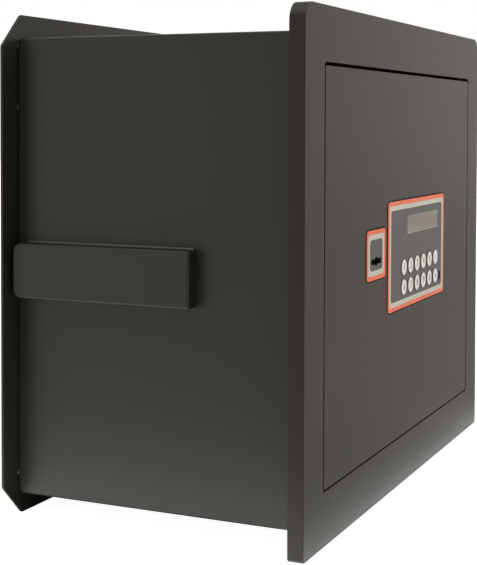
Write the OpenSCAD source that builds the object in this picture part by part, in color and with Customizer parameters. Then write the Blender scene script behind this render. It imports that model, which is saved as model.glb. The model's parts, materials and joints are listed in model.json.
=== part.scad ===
// Built-in wall safe: a heavy front frame with a flush door, a sheet-steel body behind it,
// a wide chamfered back plate and two side anchors that hold it in the masonry.
// The door carries a raised keypad, an emergency keyway and, behind a cover, the bolt work.
// The front faces -Y. The frame and the back plate stand on z = 0.

/* [Front frame] */
// Width of the front frame
frame_w = 427; // [415:1:440]
// Height of the front frame
frame_h = 350; // [346:1:364]
// Thickness of the front frame
frame_t = 11; // [10.5:0.5:12.5]
// Corner radius of the frame at the top
frame_top_r = 12.5; // [4:0.5:16]
// Corner radius of the frame at the bottom
frame_bottom_r = 2.5; // [1:0.5:8]
// Width of the door opening in the frame
open_w = 358.5; // [352:0.5:364]
// Height of the door opening in the frame
open_h = 277.5; // [270:0.5:283]
// Height of the opening's lower edge above the frame's lower edge
open_bottom = 36; // [33:0.5:40]
// Corner radius of the door opening
open_r = 3; // [1.5:0.5:5]

/* [Body] */
// Outer width of the body
body_w = 398.5; // [390:0.5:410]
// Outer height of the body
body_h = 317.5; // [312:0.5:326]
// Height of the body's underside above the frame's lower edge
body_bottom = 15; // [10:0.5:17]
// Sheet thickness of the body
body_wall = 3; // [2:0.5:4]
// Outer bend radius of the body's long edges
body_r = 1.5; // [1:0.5:8]
// How deep the body's front edge sits in the groove in the frame's rear face
body_seat = 1; // [0.5:0.5:2]
// Depth from the frame's front face to the back plate
body_depth = 220; // [190:1:280]

/* [Back plate] */
// Width of the back plate
back_w = 434.5; // [420:0.5:460]
// Height of the back plate
back_h = 349; // [340:1:360]
// Thickness of the back plate
back_t = 2; // [1.5:0.5:5]
// Leg of the chamfer on each corner of the back plate
back_chamfer = 22.5; // [10:0.5:30]

/* [Side anchors] */
// Length of a side anchor
anchor_len = 136; // [100:0.5:150]
// Height of a side anchor
anchor_h = 38; // [24:1:50]
// How far a side anchor stands out of the body's side
anchor_proud = 12; // [8:0.5:16]
// Sheet thickness of a side anchor
anchor_t = 2.5; // [1.5:0.5:4]
// Corner radius of an anchor's rear end
anchor_r = 6; // [2:0.5:8]
// Distance from an anchor's rear end to the back plate
anchor_back_gap = 3; // [0:0.5:12]
// Height of an anchor's middle above the body's underside
anchor_mid = 157.5; // [120:0.5:200]

/* [Door] */
// Thickness of the door leaf
door_t = 10; // [9.5:0.5:10.5]
// Gap between door and frame at each side
gap_side = 1.4; // [1.2:0.1:2]
// Gap between door and frame at the top
gap_top = 2.2; // [1:0.1:3]
// Gap between door and frame at the bottom
gap_bottom = 1.2; // [0.8:0.1:2]
// Corner radius of the door
door_r = 2; // [1:0.5:4]

/* [Hinge] */
// Distance of the hinge axis from the door's hinge edge
pivot_in = 15; // [13:0.5:20]
// Distance of the hinge axis behind the door's front face
pivot_depth = 5; // [4.8:0.1:5.2]
// Diameter of a hinge pin
pin_d = 5; // [4:0.5:6]
// Length of a hinge pin inside the door
pin_in_door = 14; // [10:1:25]
// Length of a hinge pin inside the frame
pin_in_frame = 13; // [9:1:20]
// Wall of a hinge bush
bush_wall = 1; // [0.8:0.1:1.2]
// Outer diameter of the thrust washer under the door
washer_d = 8.4; // [7.6:0.1:9]
// Radial clearance of a pin that turns or of a shaft that slides
run_fit = 0.08; // [0.04:0.01:0.1]

/* [Locking bolts] */
// Diameter of a locking bolt
bolt_d = 22; // [18:0.5:24]
// Length of a locking bolt
bolt_len = 47; // [44:1:50]
// Distance between the two bolts' axes
bolt_spread = 170; // [150:2:180]
// How far the bolts shoot out
bolt_throw = 16; // [12:0.5:17]
// How far a drawn bolt's tip stays inside the opening's edge
bolt_tip_in = 4; // [3.5:0.5:6]
// Clearance between a shot bolt and the rear of the frame
bolt_clear = 1.5; // [1:0.1:2]
// Chamfer on a bolt's tip
bolt_chamfer = 1.5; // [0.5:0.5:3]
// Thickness of a bolt guide
guide_t = 8; // [5:0.5:10]
// Steel left around the bolt in a guide
guide_wall = 4; // [2:0.5:5]
// Height of a bolt guide
guide_h = 36; // [30:1:40]
// Distance from the door's free edge to the bolt guides
guide_in = 9.5; // [8.5:0.5:11]

/* [Bolt carriage] */
// Thickness of the carriage plate
carriage_t = 3; // [2:0.5:4]
// Thickness of the carriage's flange that holds the bolts
flange_t = 4; // [3:0.5:5]
// Distance of the carriage's right edge from the emergency lock's axis
carriage_right = 46; // [38:1:48]
// Extra height of the carriage above and below the bolts
carriage_over = 16; // [12:1:20]
// Distance of the two left studs from the emergency lock's axis
stud_left = 37; // [32:1:38]
// Distance of the two right studs from the emergency lock's axis
stud_right = 20; // [18:1:21]
// Distance of the studs above and below the door's middle
stud_rise = 57; // [53:1:58]
// Diameter of a stud's thick part, which the carriage slides on
stud_d = 12; // [10:0.5:13]
// Diameter of a stud's neck, which runs in the carriage's slot
neck_d = 7.6; // [6:0.2:8]
// Clearance of the carriage on its studs
slide_gap = 0.3; // [0.2:0.05:0.4]
// Diameter of the head of a stud's screw
stud_head_d = 13; // [12:0.5:14]
// Thickness of the head of a stud's screw
stud_head_t = 2; // [1.5:0.25:2.5]

/* [Motor drive] */
// Module of the rack and its pinion
gear_module = 1; // [0.9:0.05:1.1]
// Number of teeth of the pinion
pinion_teeth = 16; // [15:1:17]
// Thickness of the pinion and the rack
gear_t = 4.6; // [4:0.2:5]
// Backlash of the pinion in the rack
backlash = 0.3; // [0.25:0.05:0.4]
// Distance of the pinion's axis to the right of the emergency lock's axis
gear_right = 63.6; // [60:0.2:68]
// Distance of the pinion's axis below the door's middle
gear_drop = 64; // [62:1:72]
// Length of the rack
rack_len = 38; // [36:1:40]
// Height of the rack above its pitch line
rack_h = 8; // [6:0.5:10]
// Diameter of the gearbox's output shaft
shaft_d = 4; // [3:0.5:5]
// Width and height of the gearbox
gearbox_w = 28; // [24:1:30]
// Depth of the gearbox
gearbox_t = 17; // [14:1:18]
// Diameter of the motor
motor_d = 16; // [12:0.5:17]
// Length of the motor
motor_len = 32; // [24:1:36]

/* [Emergency lock] */
// Distance of the lock's axis to the left of the door's middle
lock_left = 75.6; // [72:0.2:78]
// Height of the lock's axis above the door's middle
lock_up = 1.6; // [0:0.2:4]
// Length of the keyway's slot
keyway_w = 21; // [16:0.5:21.5]
// Height of the keyway's slot
keyway_h = 4; // [2.6:0.1:4.2]
// Diameter of the keyway's centre hole
keyway_d = 6.8; // [6.6:0.1:8]
// Depth of the keyway in the rotor
keyway_deep = 14; // [10:0.5:15]
// Diameter of the key hole in the door
keyhole_d = 22.4; // [22:0.1:23]
// Diameter of the rotor
rotor_d = 24; // [23.6:0.1:25]
// Length of the rotor
rotor_len = 17; // [16:0.5:17.5]
// Outer diameter of the lock's barrel
barrel_d = 30; // [28:0.5:32]
// Width of the lock's flange
lock_flange_w = 56; // [52:1:60]
// Height of the lock's flange
lock_flange_h = 40; // [34:1:44]
// Thickness of the lock's flange
lock_flange_t = 3; // [2:0.5:4]
// Thickness of the cam behind the rotor
cam_t = 2.7; // [2:0.1:3.2]
// Distance of the cam's pin from the lock's axis
cam_reach = 9; // [9:0.1:9.3]
// Diameter of the cam's pin
cam_pin_d = 6; // [5:0.25:6]
// Diameter of the rotor's spigot that carries the cam
spigot_d = 8; // [6:0.5:9]
// Thickness of the hardened plate behind the door
drill_t = 3; // [2.5:0.5:4]
// Edge that the hardened plate adds around what it covers
drill_edge = 6; // [4:0.5:8]

/* [Key plate] */
// Width of the plate round the keyway
plate_w = 41.5; // [38:0.5:43]
// Height of the plate round the keyway
plate_h = 35.7; // [34:0.1:38]
// Height of the plate's middle above the lock's axis
plate_up = 4.8; // [3:0.1:5]

/* [Keypad] */
// Width of the keypad
pad_w = 148.5; // [140:0.5:156]
// Height of the keypad
pad_h = 81.8; // [76:0.1:86]
// Distance of the keypad's middle to the right of the door's middle
pad_right = 26; // [25:0.5:34]
// Height of the keypad's middle above the door's middle
pad_up = 1; // [-4:0.2:4]
// How far the keypad and the key plate stand out of the door
pad_proud = 0.6; // [0.5:0.1:2]
// Corner radius of the keypad and the key plate
pad_r = 3.5; // [2:0.5:5]
// Corner radius of the pale band's outer edge
band_r = 2.5; // [1:0.5:4]
// Corner radius of the keypad's face
face_r = 3; // [1:0.5:4]
// Corner radius of the face round the keyway
plate_face_r = 3.5; // [1:0.5:5]
// Width of the outer coloured band
rim_w = 3.1; // [2.5:0.1:4]
// Width of the pale band inside it
band_w = 3.7; // [2.5:0.1:4.5]
// How far the pale band and the face lie behind the outer band
face_recess = 0.1; // [0.1:0.05:0.4]
// Thickness of the keypad's face
face_t = 1.6; // [1.2:0.1:2]
// Wall of the keypad's housing
case_wall = 2; // [1.5:0.1:2.2]
// Clearance of pieces that are set into one another
seat = 0.15; // [0.05:0.05:0.25]

/* [Keys] */
// Diameter of a key
key_d = 12; // [11:0.1:12.6]
// Distance between neighbouring keys in a row
key_pitch = 17.04; // [16.4:0.02:17.3]
// Distance between the two rows of keys
key_row_pitch = 15.1; // [14.9:0.1:16]
// Distance of the first key from the keypad's middle
key_first = 36.8; // [36.5:0.1:39]
// Distance of the upper row below the keypad's middle
key_row_drop = 10; // [8:0.1:10.6]
// How far a key stands out of the face
key_proud = 1.2; // [0.85:0.05:1.5]
// How far a key can be pressed
key_travel = 0.8; // [0.5:0.05:0.8]
// Clearance round a key in the face
key_gap = 0.3; // [0.2:0.05:0.35]
// How much wider than the key its hidden collar is, all round
collar_w = 0.9; // [0.7:0.1:1]
// Thickness of a key's collar
collar_t = 0.8; // [0.6:0.1:1]

/* [Display] */
// Width of the display window
window_w = 85.5; // [76:0.5:88]
// Height of the display window
window_h = 14.3; // [11:0.1:15]
// Distance of the window's middle to the right of the keypad's middle
window_right = 15.8; // [8:0.2:16]
// Height of the window's middle above the keypad's middle
window_up = 21.4; // [19:0.1:22]
// Width of the contact slot
contact_w = 4.6; // [2.4:0.1:5]
// Height of the contact slot
contact_h = 6.5; // [5:0.5:7]
// Distance of the contact slot to the right of the keypad's middle
contact_right = 62; // [59:0.1:62.4]
// Distance of the contact slot below the keypad's middle
contact_drop = 26.4; // [22:0.2:28]

/* [Electronics] */
// Thickness of the circuit boards
board_t = 1.6; // [1.2:0.1:2]
// Width of the control board
board_w = 90; // [80:1:100]
// Height of the control board
board_h = 44; // [38:1:48]
// Distance of the control board's middle to the right of the door's middle
board_right = 85; // [80:1:95]
// Height of the control board's middle above the door's middle
board_up = 76; // [72:1:84]
// Height of the posts under the control board
board_post_h = 6; // [5:0.5:8]
// Width of the ribbon cable
ribbon_w = 12; // [8:0.5:13]
// Thickness of the ribbon cable
ribbon_t = 0.8; // [0.6:0.1:1]

/* [Batteries] */
// Diameter of a battery cell
cell_d = 14.2; // [13.5:0.1:14.5]
// Length of a battery cell
cell_len = 50.5; // [46:0.5:52]
// Number of battery cells
cell_count = 4; // [3:1:4]
// Wall of the battery box
box_wall = 1.5; // [1:0.25:2]
// Distance of the battery box's middle to the right of the door's middle
box_right = 85; // [80:1:95]
// Distance of the battery box's middle below the door's middle
box_drop = 78; // [74:1:84]
// Thickness of the battery lid
lid_t = 2; // [1.5:0.25:2.25]
// Diameter of the battery lid's knuckle
knuckle_d = 4; // [3.5:0.25:5]

/* [Door cover] */
// Depth of the cover behind the door leaf
cover_depth = 34.5; // [34:0.5:38]
// Sheet thickness of the cover
cover_wall = 1.5; // [1:0.25:2]
// Distance from the door's free edge to the cover
cover_in_free = 6; // [5:0.25:6.5]
// Distance from the door's hinge edge to the cover
cover_in_hinge = 12; // [11:0.5:16]
// Distance from the door's upper and lower edges to the cover
cover_in_z = 6.5; // [5:0.5:10]
// Corner radius of the cover
cover_r = 4; // [2:0.5:6]
// Diameter of a post that carries the cover
post_d = 8; // [7:0.5:9]
// Distance of the posts from the cover's edges
post_in = 12; // [10:0.5:13]
// Thread diameter of the small screws
screw_d = 4; // [3:0.25:4.5]
// Head diameter of the small screws
head_d = 7.6; // [7:0.2:8]
// Head thickness of the small screws
head_t = 2.4; // [2:0.1:2.6]
// Thickness of the floor mat
mat_t = 3; // [2:0.5:5]
// Gap between the floor mat and the body's walls
mat_gap = 1.5; // [1:0.5:4]

/* [Hidden] */
$fn = 48;

paint = [0.33, 0.32, 0.30];
paint_dark = [0.22, 0.21, 0.19];
orange = [0.93, 0.42, 0.25];
beige = [0.74, 0.73, 0.66];
pad_grey = [0.40, 0.40, 0.39];
steel = [0.62, 0.62, 0.62];
zinc = [0.75, 0.75, 0.72];
brass_tone = [0.78, 0.62, 0.30];
black_plastic = [0.08, 0.08, 0.08];
white_plastic = [0.92, 0.92, 0.88];
board_green = [0.10, 0.35, 0.20];

// Overshoot of a cut past the face that it opens
over = 1;
// Small gap that keeps a resting piece clear of its seat
rest_gap = 0.1;

// Depths, counted from the front
key_front = pad_proud - face_recess + key_proud;
total_depth = key_front + body_depth + back_t;
front_y = key_front - total_depth / 2;
frame_back = front_y + frame_t;
door_back = front_y + door_t;
back_y = front_y + body_depth;
face_front = front_y - pad_proud + face_recess;
face_back = face_front + face_t;

// Opening and door
open_top = open_bottom + open_h;
door_w = open_w - 2 * gap_side;
door_z0 = open_bottom + gap_bottom;
door_z1 = open_top - gap_top;
door_h = door_z1 - door_z0;
door_mid = (door_z0 + door_z1) / 2;

// Body
body_mid = body_bottom + body_h / 2;
mat_front_gap = 4;
inner_w = body_w - 2 * body_wall;
floor_z = body_bottom + body_wall;
body_front = frame_back - body_seat;
inner_r = body_r - min(body_wall, body_r - 0.5);

// Hinge
pivot_x = door_w / 2 - pivot_in;
pivot_y = front_y + pivot_depth;
bush_d = pin_d + 2 * run_fit + 2 * bush_wall;
bush_len = pin_in_frame + over;
press = 0.02;

// Locking bolts and their carriage
bolt_x0 = bolt_tip_in - open_w / 2;
bolt_x1 = bolt_x0 + bolt_len;
bolt_y = frame_back + bolt_clear + bolt_d / 2;
bolt_zs = [door_mid - bolt_spread / 2, door_mid + bolt_spread / 2];
guide_x0 = guide_in - door_w / 2;
guide_back = bolt_y + bolt_d / 2 + guide_wall;
carriage_y = bolt_y + bolt_d / 2;
carriage_back = carriage_y + carriage_t;
flange_y0 = bolt_y - bolt_d / 2 + 1;
lock_x = -lock_left;
lock_z = door_mid + lock_up;
stud_xs = [lock_x - stud_left, lock_x + stud_right];
stud_zs = [door_mid - stud_rise, door_mid + stud_rise];
stud_screw_len = 12;
bolt_screw_d = 8;
bolt_screw_head_d = 13;
bolt_screw_head_t = 5;
bolt_screw_len = 22;
bolt_socket_d = 5.6;
bolt_socket_deep = 3.3;

// Motor drive
pinion_r = gear_module * pinion_teeth / 2;
gear_x = lock_x + gear_right;
gear_z = door_mid - gear_drop;
rack_z = gear_z + pinion_r;
rack_y = carriage_y - gear_t;
tooth_add = 0.92 * gear_module;
tooth_ded = 1.2 * gear_module;
tooth_pitch = PI * gear_module;
pressure = 20;
tooth_lap = 0.2;
flank_steps = 5;
arm_over = 5;
shaft_deep = 8;
boss_d = shaft_d + 5;
boss_h = 1.2;
motor_y = door_back + 9;
motor_z = gear_z - 3;
motor_cap_d = motor_d / 3;
motor_cap_len = 2;

// Emergency lock
drill_back = door_back + drill_t;
rotor_y0 = drill_back + rest_gap;
rotor_y1 = rotor_y0 + rotor_len;
barrel_back = rotor_y1 - rest_gap;
cam_y0 = rotor_y1 + rest_gap;
cam_y1 = cam_y0 + cam_t;
cam_edge = 1;
cam_clear = 1.2;
cam_d = 2 * (cam_reach + cam_edge) + cam_pin_d;
cam_pin_y1 = carriage_back + over;
plate_z = lock_z + plate_up;
lock_flange_r = 3;
lock_screw_x = lock_flange_w / 2 - 7;
lock_screw_len = lock_flange_t + drill_t - over;

// Keypad
pad_x = pad_right;
pad_z = door_mid + pad_up;
case_in = rim_w + band_w / 4;
case_w = pad_w - 2 * case_in;
case_h = pad_h - 2 * case_in;
face_w = pad_w - 2 * rim_w - 2 * band_w;
face_h = pad_h - 2 * rim_w - 2 * band_w;
ledge_w = 1.9;
case_r = 2.8;
pocket_r = 2;
pocket_w = case_w - 2 * case_wall - 2 * ledge_w;
pocket_h = case_h - 2 * case_wall - 2 * ledge_w;
case_floor = 1.4;
key_rest = 0.05;
collar_y0 = face_back + key_rest;
key_bottom = collar_y0 + collar_t;
dome_front = key_bottom + key_travel + key_rest;
dome_h = 0.8;
dome_d = 7;
mat_y0 = dome_front + dome_h;
mat_sheet = 0.8;
pad_board_y = mat_y0 + mat_sheet;
mat_edge = key_d / 2 + collar_w - 0.1;
key_row_z = pad_z - key_row_drop;
window_r = 1;
window_lip = 1;
window_flange_t = 0.6;
module_w = window_w + 3;
module_h = window_h + 4;
contact_r = 0.6;
contact_edge = 0.9;
contact_floor = 0.8;
pad_board_w = pocket_w - 1;
pad_board_h = pocket_h - 1;
pad_post_in = 5;
pad_post_d = 4;
drill_x0 = lock_x - lock_flange_w / 2 - drill_edge;
drill_x1 = pad_x + case_w / 2 + drill_edge;
drill_z0 = pad_z - case_h / 2 - drill_edge;
drill_z1 = pad_z + case_h / 2 + drill_edge;

// Cover and what hangs in it
cover_y1 = door_back + cover_depth;
cover_inner = cover_y1 - cover_wall;
cover_x0 = cover_in_free - door_w / 2;
cover_x1 = door_w / 2 - cover_in_hinge;
cover_z0 = door_z0 + cover_in_z;
cover_z1 = door_z1 - cover_in_z;
cover_mid_x = (cover_x0 + cover_x1) / 2;
post_xs = [cover_x0 + post_in, cover_mid_x, cover_x1 - post_in];
post_zs = [cover_z0 + post_in, cover_z1 - post_in];
screw_len = 10;
post_bore_len = 12;

// Control board and ribbon
board_x = board_right;
board_z = door_mid + board_up;
board_y0 = door_back + board_post_h;
board_y1 = board_y0 + board_t;
board_post_in = 5;
board_post_d = 5;
board_post_bore = 4;
board_screw_d = screw_d / 2;
board_head_d = head_d / 2;
board_head_t = head_t / 2;
board_screw_len = board_t + 3;
part_r = 0.5;
chip_w = 16;
chip_t = 1.6;
chip_x = board_x - board_w / 2 + 22;
relay_w = 12;
relay_t = 8;
relay_x = board_x + board_w / 2 - 18;
can_d = 8;
can_t = 11;
can_x = board_x + 11;
can_pitch = 12;
can_z = board_z + 12;
socket_w = ribbon_w + 4;
socket_h = 6;
socket_t = 5;
ribbon_x = board_x - 4;
ribbon_y = board_y1 + socket_t / 2;
ribbon_z0 = pad_z + case_h / 2 - 12;
ribbon_slot_w = ribbon_w + 2;
ribbon_slot_t = ribbon_t + 1.6;
ribbon_z1 = board_z - board_h / 2 + 3;

// Batteries
cell_pitch = cell_d + 1;
nub_d = 5.5;
nub_len = 1;
box_x = box_right;
box_z = door_mid - box_drop;
box_w = cell_count * cell_pitch + 2 + 2 * box_wall;
box_h = cell_len + 8 + 2 * box_wall;
box_t = cell_d + 3 + box_wall;
box_y0 = cover_inner - box_t;
lid_w = box_w - 2 * box_wall;
lid_h = box_h - 2 * box_wall;
lid_lap = 2;
lid_y0 = cover_y1 + 0.2;
lid_z1 = box_z + lid_h / 2;
knuckle_y = lid_y0 + knuckle_d / 2;
ear_rise = 1.5;
knuckle_z = lid_z1 + ear_rise + knuckle_d / 2;
knuckle_len = lid_w - 10;
stub_d = 2;
ear_t = 2.5;
ear_gap = 0.3;
tab_w = 16;
tab_out = 3;

// A flat rectangle with round corners, centred
module rounded(w, h, r) {
    square([w - 2 * r, h], center = true);
    square([w, h - 2 * r], center = true);
    for (sx = [-1, 1], sz = [-1, 1])
        translate([sx * (w / 2 - r), sz * (h / 2 - r)])
            circle(r);
}

// Turns a flat shape drawn in X and Z into a slab from depth y0 to depth y1
module slab(y0, y1) {
    translate([0, y1, 0])
        rotate([90, 0, 0])
            linear_extrude(y1 - y0)
                children();
}

// A rounded slab centred on x and z
module plate(x, z, w, h, r, y0, y1) {
    slab(y0, y1)
        translate([x, z])
            rounded(w, h, r);
}

// A round bar along Y
module rod_y(x, z, d, y0, y1) {
    translate([x, y0, z])
        rotate([-90, 0, 0])
            cylinder(d = d, h = y1 - y0);
}

// A round bar along X
module rod_x(y, z, d, x0, x1) {
    translate([x0, y, z])
        rotate([0, 90, 0])
            cylinder(d = d, h = x1 - x0);
}

// A round bar along Z
module rod_z(x, y, d, z0, z1) {
    translate([x, y, z0])
        cylinder(d = d, h = z1 - z0);
}

// A box between two corners
module block(x0, x1, y0, y1, z0, z1) {
    translate([x0, y0, z0])
        cube([x1 - x0, y1 - y0, z1 - z0]);
}

// The outline of the body's wall, widened on both sides by a clearance
module body_outline(clear) {
    translate([0, body_mid])
        difference() {
            rounded(body_w + 2 * clear, body_h + 2 * clear, body_r + clear);
            rounded(inner_w - 2 * clear, body_h - 2 * body_wall - 2 * clear, inner_r - clear);
        }
}

// The frame's outline, with its own radius at the top and at the bottom
module frame_outline() {
    half = frame_w / 2;
    translate([-half, frame_bottom_r])
        square([frame_w, frame_h - frame_top_r - frame_bottom_r]);
    translate([frame_bottom_r - half, 0])
        square([frame_w - 2 * frame_bottom_r, frame_bottom_r + over]);
    translate([frame_top_r - half, frame_h - frame_top_r - over])
        square([frame_w - 2 * frame_top_r, frame_top_r + over]);
    for (sx = [-1, 1]) {
        translate([sx * (half - frame_bottom_r), frame_bottom_r])
            circle(frame_bottom_r);
        translate([sx * (half - frame_top_r), frame_h - frame_top_r])
            circle(frame_top_r);
    }
}

module front_frame() {
    color(paint)
        difference() {
            slab(front_y, frame_back)
                frame_outline();
            plate(0, open_bottom + open_h / 2, open_w, open_h, open_r,
                front_y - over, frame_back + over);
            slab(body_front, frame_back + over)
                body_outline(seat);
            rod_z(pivot_x, pivot_y, bush_d + 2 * press, open_bottom - bush_len, open_bottom + over);
            rod_z(pivot_x, pivot_y, bush_d + 2 * press, open_top - over, open_top + bush_len);
        }
}

module body_shell() {
    color(paint_dark)
        slab(body_front, back_y)
            body_outline(0);
}

module back_plate() {
    half = back_w / 2;
    cut = back_chamfer;
    color(paint_dark)
        slab(back_y, back_y + back_t)
            polygon([
                [cut - half, 0], [half - cut, 0], [half, cut], [half, back_h - cut],
                [half - cut, back_h], [cut - half, back_h], [-half, back_h - cut], [-half, cut]
            ]);
}

// An anchor's outline in Y and Z: square at the front end, round at the rear end
module anchor_outline(inset) {
    y1 = back_y - anchor_back_gap;
    y0 = y1 - anchor_len;
    z = body_bottom + anchor_mid;
    half = anchor_h / 2;
    translate([y0 + inset, z - half + inset])
        square([anchor_len - anchor_r - inset, anchor_h - 2 * inset]);
    translate([y1 - anchor_r - over, z - half + anchor_r])
        square([anchor_r + over - inset, anchor_h - 2 * anchor_r]);
    for (s = [-1, 1])
        translate([y1 - anchor_r, z + s * (half - anchor_r)])
            circle(anchor_r - inset);
}

// A pressed tray, open towards the body's side
module anchor() {
    side = body_w / 2;
    color(paint_dark)
        difference() {
            translate([side, 0, 0])
                rotate([90, 0, 90])
                    linear_extrude(anchor_proud)
                        anchor_outline(0);
            translate([side - over, 0, 0])
                rotate([90, 0, 90])
                    linear_extrude(anchor_proud - anchor_t + over)
                        anchor_outline(min(anchor_t, anchor_r - 0.5));
        }
}

module left_anchor() {
    mirror([1, 0, 0])
        anchor();
}

module right_anchor() {
    anchor();
}

module floor_mat() {
    half = inner_w / 2 - mat_gap - inner_r;
    color([0.16, 0.16, 0.17])
        block(-half, half, cover_y1 + mat_front_gap, back_y - mat_gap, floor_z, floor_z + mat_t);
}

module hinge_bush(z0, z1) {
    difference() {
        rod_z(pivot_x, pivot_y, bush_d, z0, z1);
        rod_z(pivot_x, pivot_y, pin_d + 2 * run_fit, z0 - over, z1 + over);
    }
}

module hinge_bushes() {
    color(brass_tone) {
        hinge_bush(open_bottom - bush_len, open_bottom);
        hinge_bush(open_top, open_top + bush_len);
    }
}

module hinge_washer() {
    color(brass_tone)
        difference() {
            rod_z(pivot_x, pivot_y, washer_d, open_bottom, door_z0 - rest_gap);
            rod_z(pivot_x, pivot_y, pin_d + 4 * run_fit, open_bottom - over, door_z0 + over);
        }
}

module door_leaf() {
    color(paint)
        difference() {
            plate(0, door_mid, door_w, door_h, door_r, front_y, door_back);
            plate(pad_x, pad_z, case_w + 2 * seat, case_h + 2 * seat, case_r + seat,
                front_y - over, door_back + over);
            rod_y(lock_x, lock_z, keyhole_d, front_y - over, door_back + over);
            rod_z(pivot_x, pivot_y, pin_d + 2 * press, door_z0 - over, door_z0 + pin_in_door);
            rod_z(pivot_x, pivot_y, pin_d + 2 * press, door_z1 - pin_in_door, door_z1 + over);
        }
}

module hinge_pins() {
    color(steel) {
        rod_z(pivot_x, pivot_y, pin_d, open_bottom - pin_in_frame, door_z0 + pin_in_door);
        rod_z(pivot_x, pivot_y, pin_d, door_z1 - pin_in_door, open_top + pin_in_frame);
    }
}

module drill_plate() {
    color(steel)
        difference() {
            block(drill_x0, drill_x1, door_back, drill_back, drill_z0, drill_z1);
            rod_y(lock_x, lock_z, keyhole_d, door_back - over, drill_back + over);
            plate(ribbon_x, ribbon_z0, ribbon_slot_w, ribbon_slot_t, ribbon_slot_t / 3,
                door_back - over, drill_back + over);
            for (s = [-1, 1])
                rod_y(lock_x + s * lock_screw_x, lock_z, screw_d + 2 * press,
                    door_back - over, drill_back + over);
        }
}

// A flat ring between two rounded rectangles
module ring(x, z, w, h, r, inner, wall, y0, y1) {
    slab(y0, y1)
        translate([x, z])
            difference() {
                rounded(w, h, r);
                rounded(w - 2 * wall, h - 2 * wall, inner);
            }
}

module keypad_bezel() {
    color(orange)
        ring(pad_x, pad_z, pad_w, pad_h, pad_r, band_r, rim_w, front_y - pad_proud, front_y);
}

module keypad_band() {
    color(beige)
        ring(pad_x, pad_z, pad_w - 2 * rim_w, pad_h - 2 * rim_w, band_r, face_r, band_w,
            face_front, front_y);
}

module keypad_housing() {
    color(black_plastic)
        difference() {
            plate(pad_x, pad_z, case_w, case_h, case_r, front_y, door_back);
            plate(pad_x, pad_z, face_w + 2 * seat, face_h + 2 * seat, face_r + seat,
                front_y - over, face_back);
            plate(pad_x, pad_z, pocket_w, pocket_h, pocket_r, face_back - over,
                door_back - case_floor);
            plate(ribbon_x, ribbon_z0, ribbon_slot_w, ribbon_slot_t, ribbon_slot_t / 3,
                door_back - case_floor - over, door_back + over);
        }
}

// Runs its children at each key's place, column by column
module at_keys() {
    for (col = [0 : 5], row = [0, 1])
        translate([pad_x - key_first + col * key_pitch, key_row_z - row * key_row_pitch])
            children();
}

module keypad_face() {
    color(pad_grey)
        slab(face_front, face_back)
            difference() {
                translate([pad_x, pad_z])
                    rounded(face_w, face_h, face_r);
                at_keys()
                    circle(d = key_d + 2 * key_gap);
                translate([pad_x + window_right, pad_z + window_up])
                    rounded(window_w, window_h, window_r);
                translate([pad_x + contact_right, pad_z - contact_drop])
                    rounded(contact_w, contact_h, contact_r);
            }
}

module display_window() {
    x = pad_x + window_right;
    z = pad_z + window_up;
    color([0.56, 0.50, 0.46, 0.6]) {
        plate(x, z, window_w - 2 * seat, window_h - 2 * seat, window_r - seat,
            face_front + rest_gap, face_back + rest_gap);
        plate(x, z, window_w + 2 * window_lip, window_h + 2 * window_lip, window_r,
            face_back, face_back + window_flange_t);
    }
}

module display_module() {
    color([0.25, 0.27, 0.24])
        plate(pad_x + window_right, pad_z + window_up, module_w, module_h, window_r,
            face_back + window_flange_t + rest_gap, pad_board_y);
}

module keypad_mat() {
    cols_w = 5 * key_pitch + 2 * mat_edge;
    rows_h = key_row_pitch + 2 * mat_edge;
    color([0.30, 0.30, 0.30]) {
        plate(pad_x - key_first + 2.5 * key_pitch, key_row_z - key_row_pitch / 2,
            cols_w, rows_h, pocket_r, mat_y0, pad_board_y);
        slab(dome_front, mat_y0 + mat_sheet / 2)
            at_keys()
                circle(d = dome_d);
    }
}

module keypad_board() {
    color(board_green) {
        plate(pad_x, pad_z, pad_board_w, pad_board_h, pocket_r, pad_board_y,
            pad_board_y + board_t);
        for (sx = [-1, 1], sz = [-1, 1])
            rod_y(pad_x + sx * (pocket_w / 2 - pad_post_in), pad_z + sz * (pocket_h / 2 - pad_post_in),
                pad_post_d, pad_board_y + board_t / 2, door_back - case_floor);
    }
}

module contact_socket() {
    x = pad_x + contact_right;
    z = pad_z - contact_drop;
    w = contact_w + 2 * contact_edge;
    h = contact_h + 2 * contact_edge;
    color(black_plastic)
        difference() {
            plate(x, z, w, h, contact_r, face_back, pad_board_y);
            plate(x, z, contact_w, contact_h, contact_r, face_back - over,
                pad_board_y - contact_floor);
        }
}

module key_plate_bezel() {
    color(orange)
        ring(lock_x, plate_z, plate_w, plate_h, pad_r, band_r, rim_w, front_y - pad_proud,
            front_y);
}

module key_plate_band() {
    color(beige)
        ring(lock_x, plate_z, plate_w - 2 * rim_w, plate_h - 2 * rim_w, band_r, plate_face_r,
            band_w, face_front, front_y);
}

// The double-bit keyway: a slot with a round hole in its middle
module keyway() {
    square([keyway_w, keyway_h], center = true);
    circle(d = keyway_d);
}

module key_plate_face() {
    color(pad_grey)
        slab(face_front, front_y)
            difference() {
                translate([lock_x, plate_z])
                    rounded(plate_w - 2 * rim_w - 2 * band_w, plate_h - 2 * rim_w - 2 * band_w,
                        plate_face_r);
                translate([lock_x, lock_z])
                    keyway();
            }
}

module lock_housing() {
    color(zinc)
        difference() {
            union() {
                plate(lock_x, lock_z, lock_flange_w, lock_flange_h, lock_flange_r,
                    drill_back, drill_back + lock_flange_t);
                rod_y(lock_x, lock_z, barrel_d, drill_back + lock_flange_t / 2, barrel_back);
            }
            rod_y(lock_x, lock_z, rotor_d + 2 * run_fit, drill_back - over, barrel_back + over);
            for (s = [-1, 1])
                rod_y(lock_x + s * lock_screw_x, lock_z, screw_d + 2 * press,
                    drill_back - over, drill_back + lock_flange_t + over);
        }
}

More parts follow.
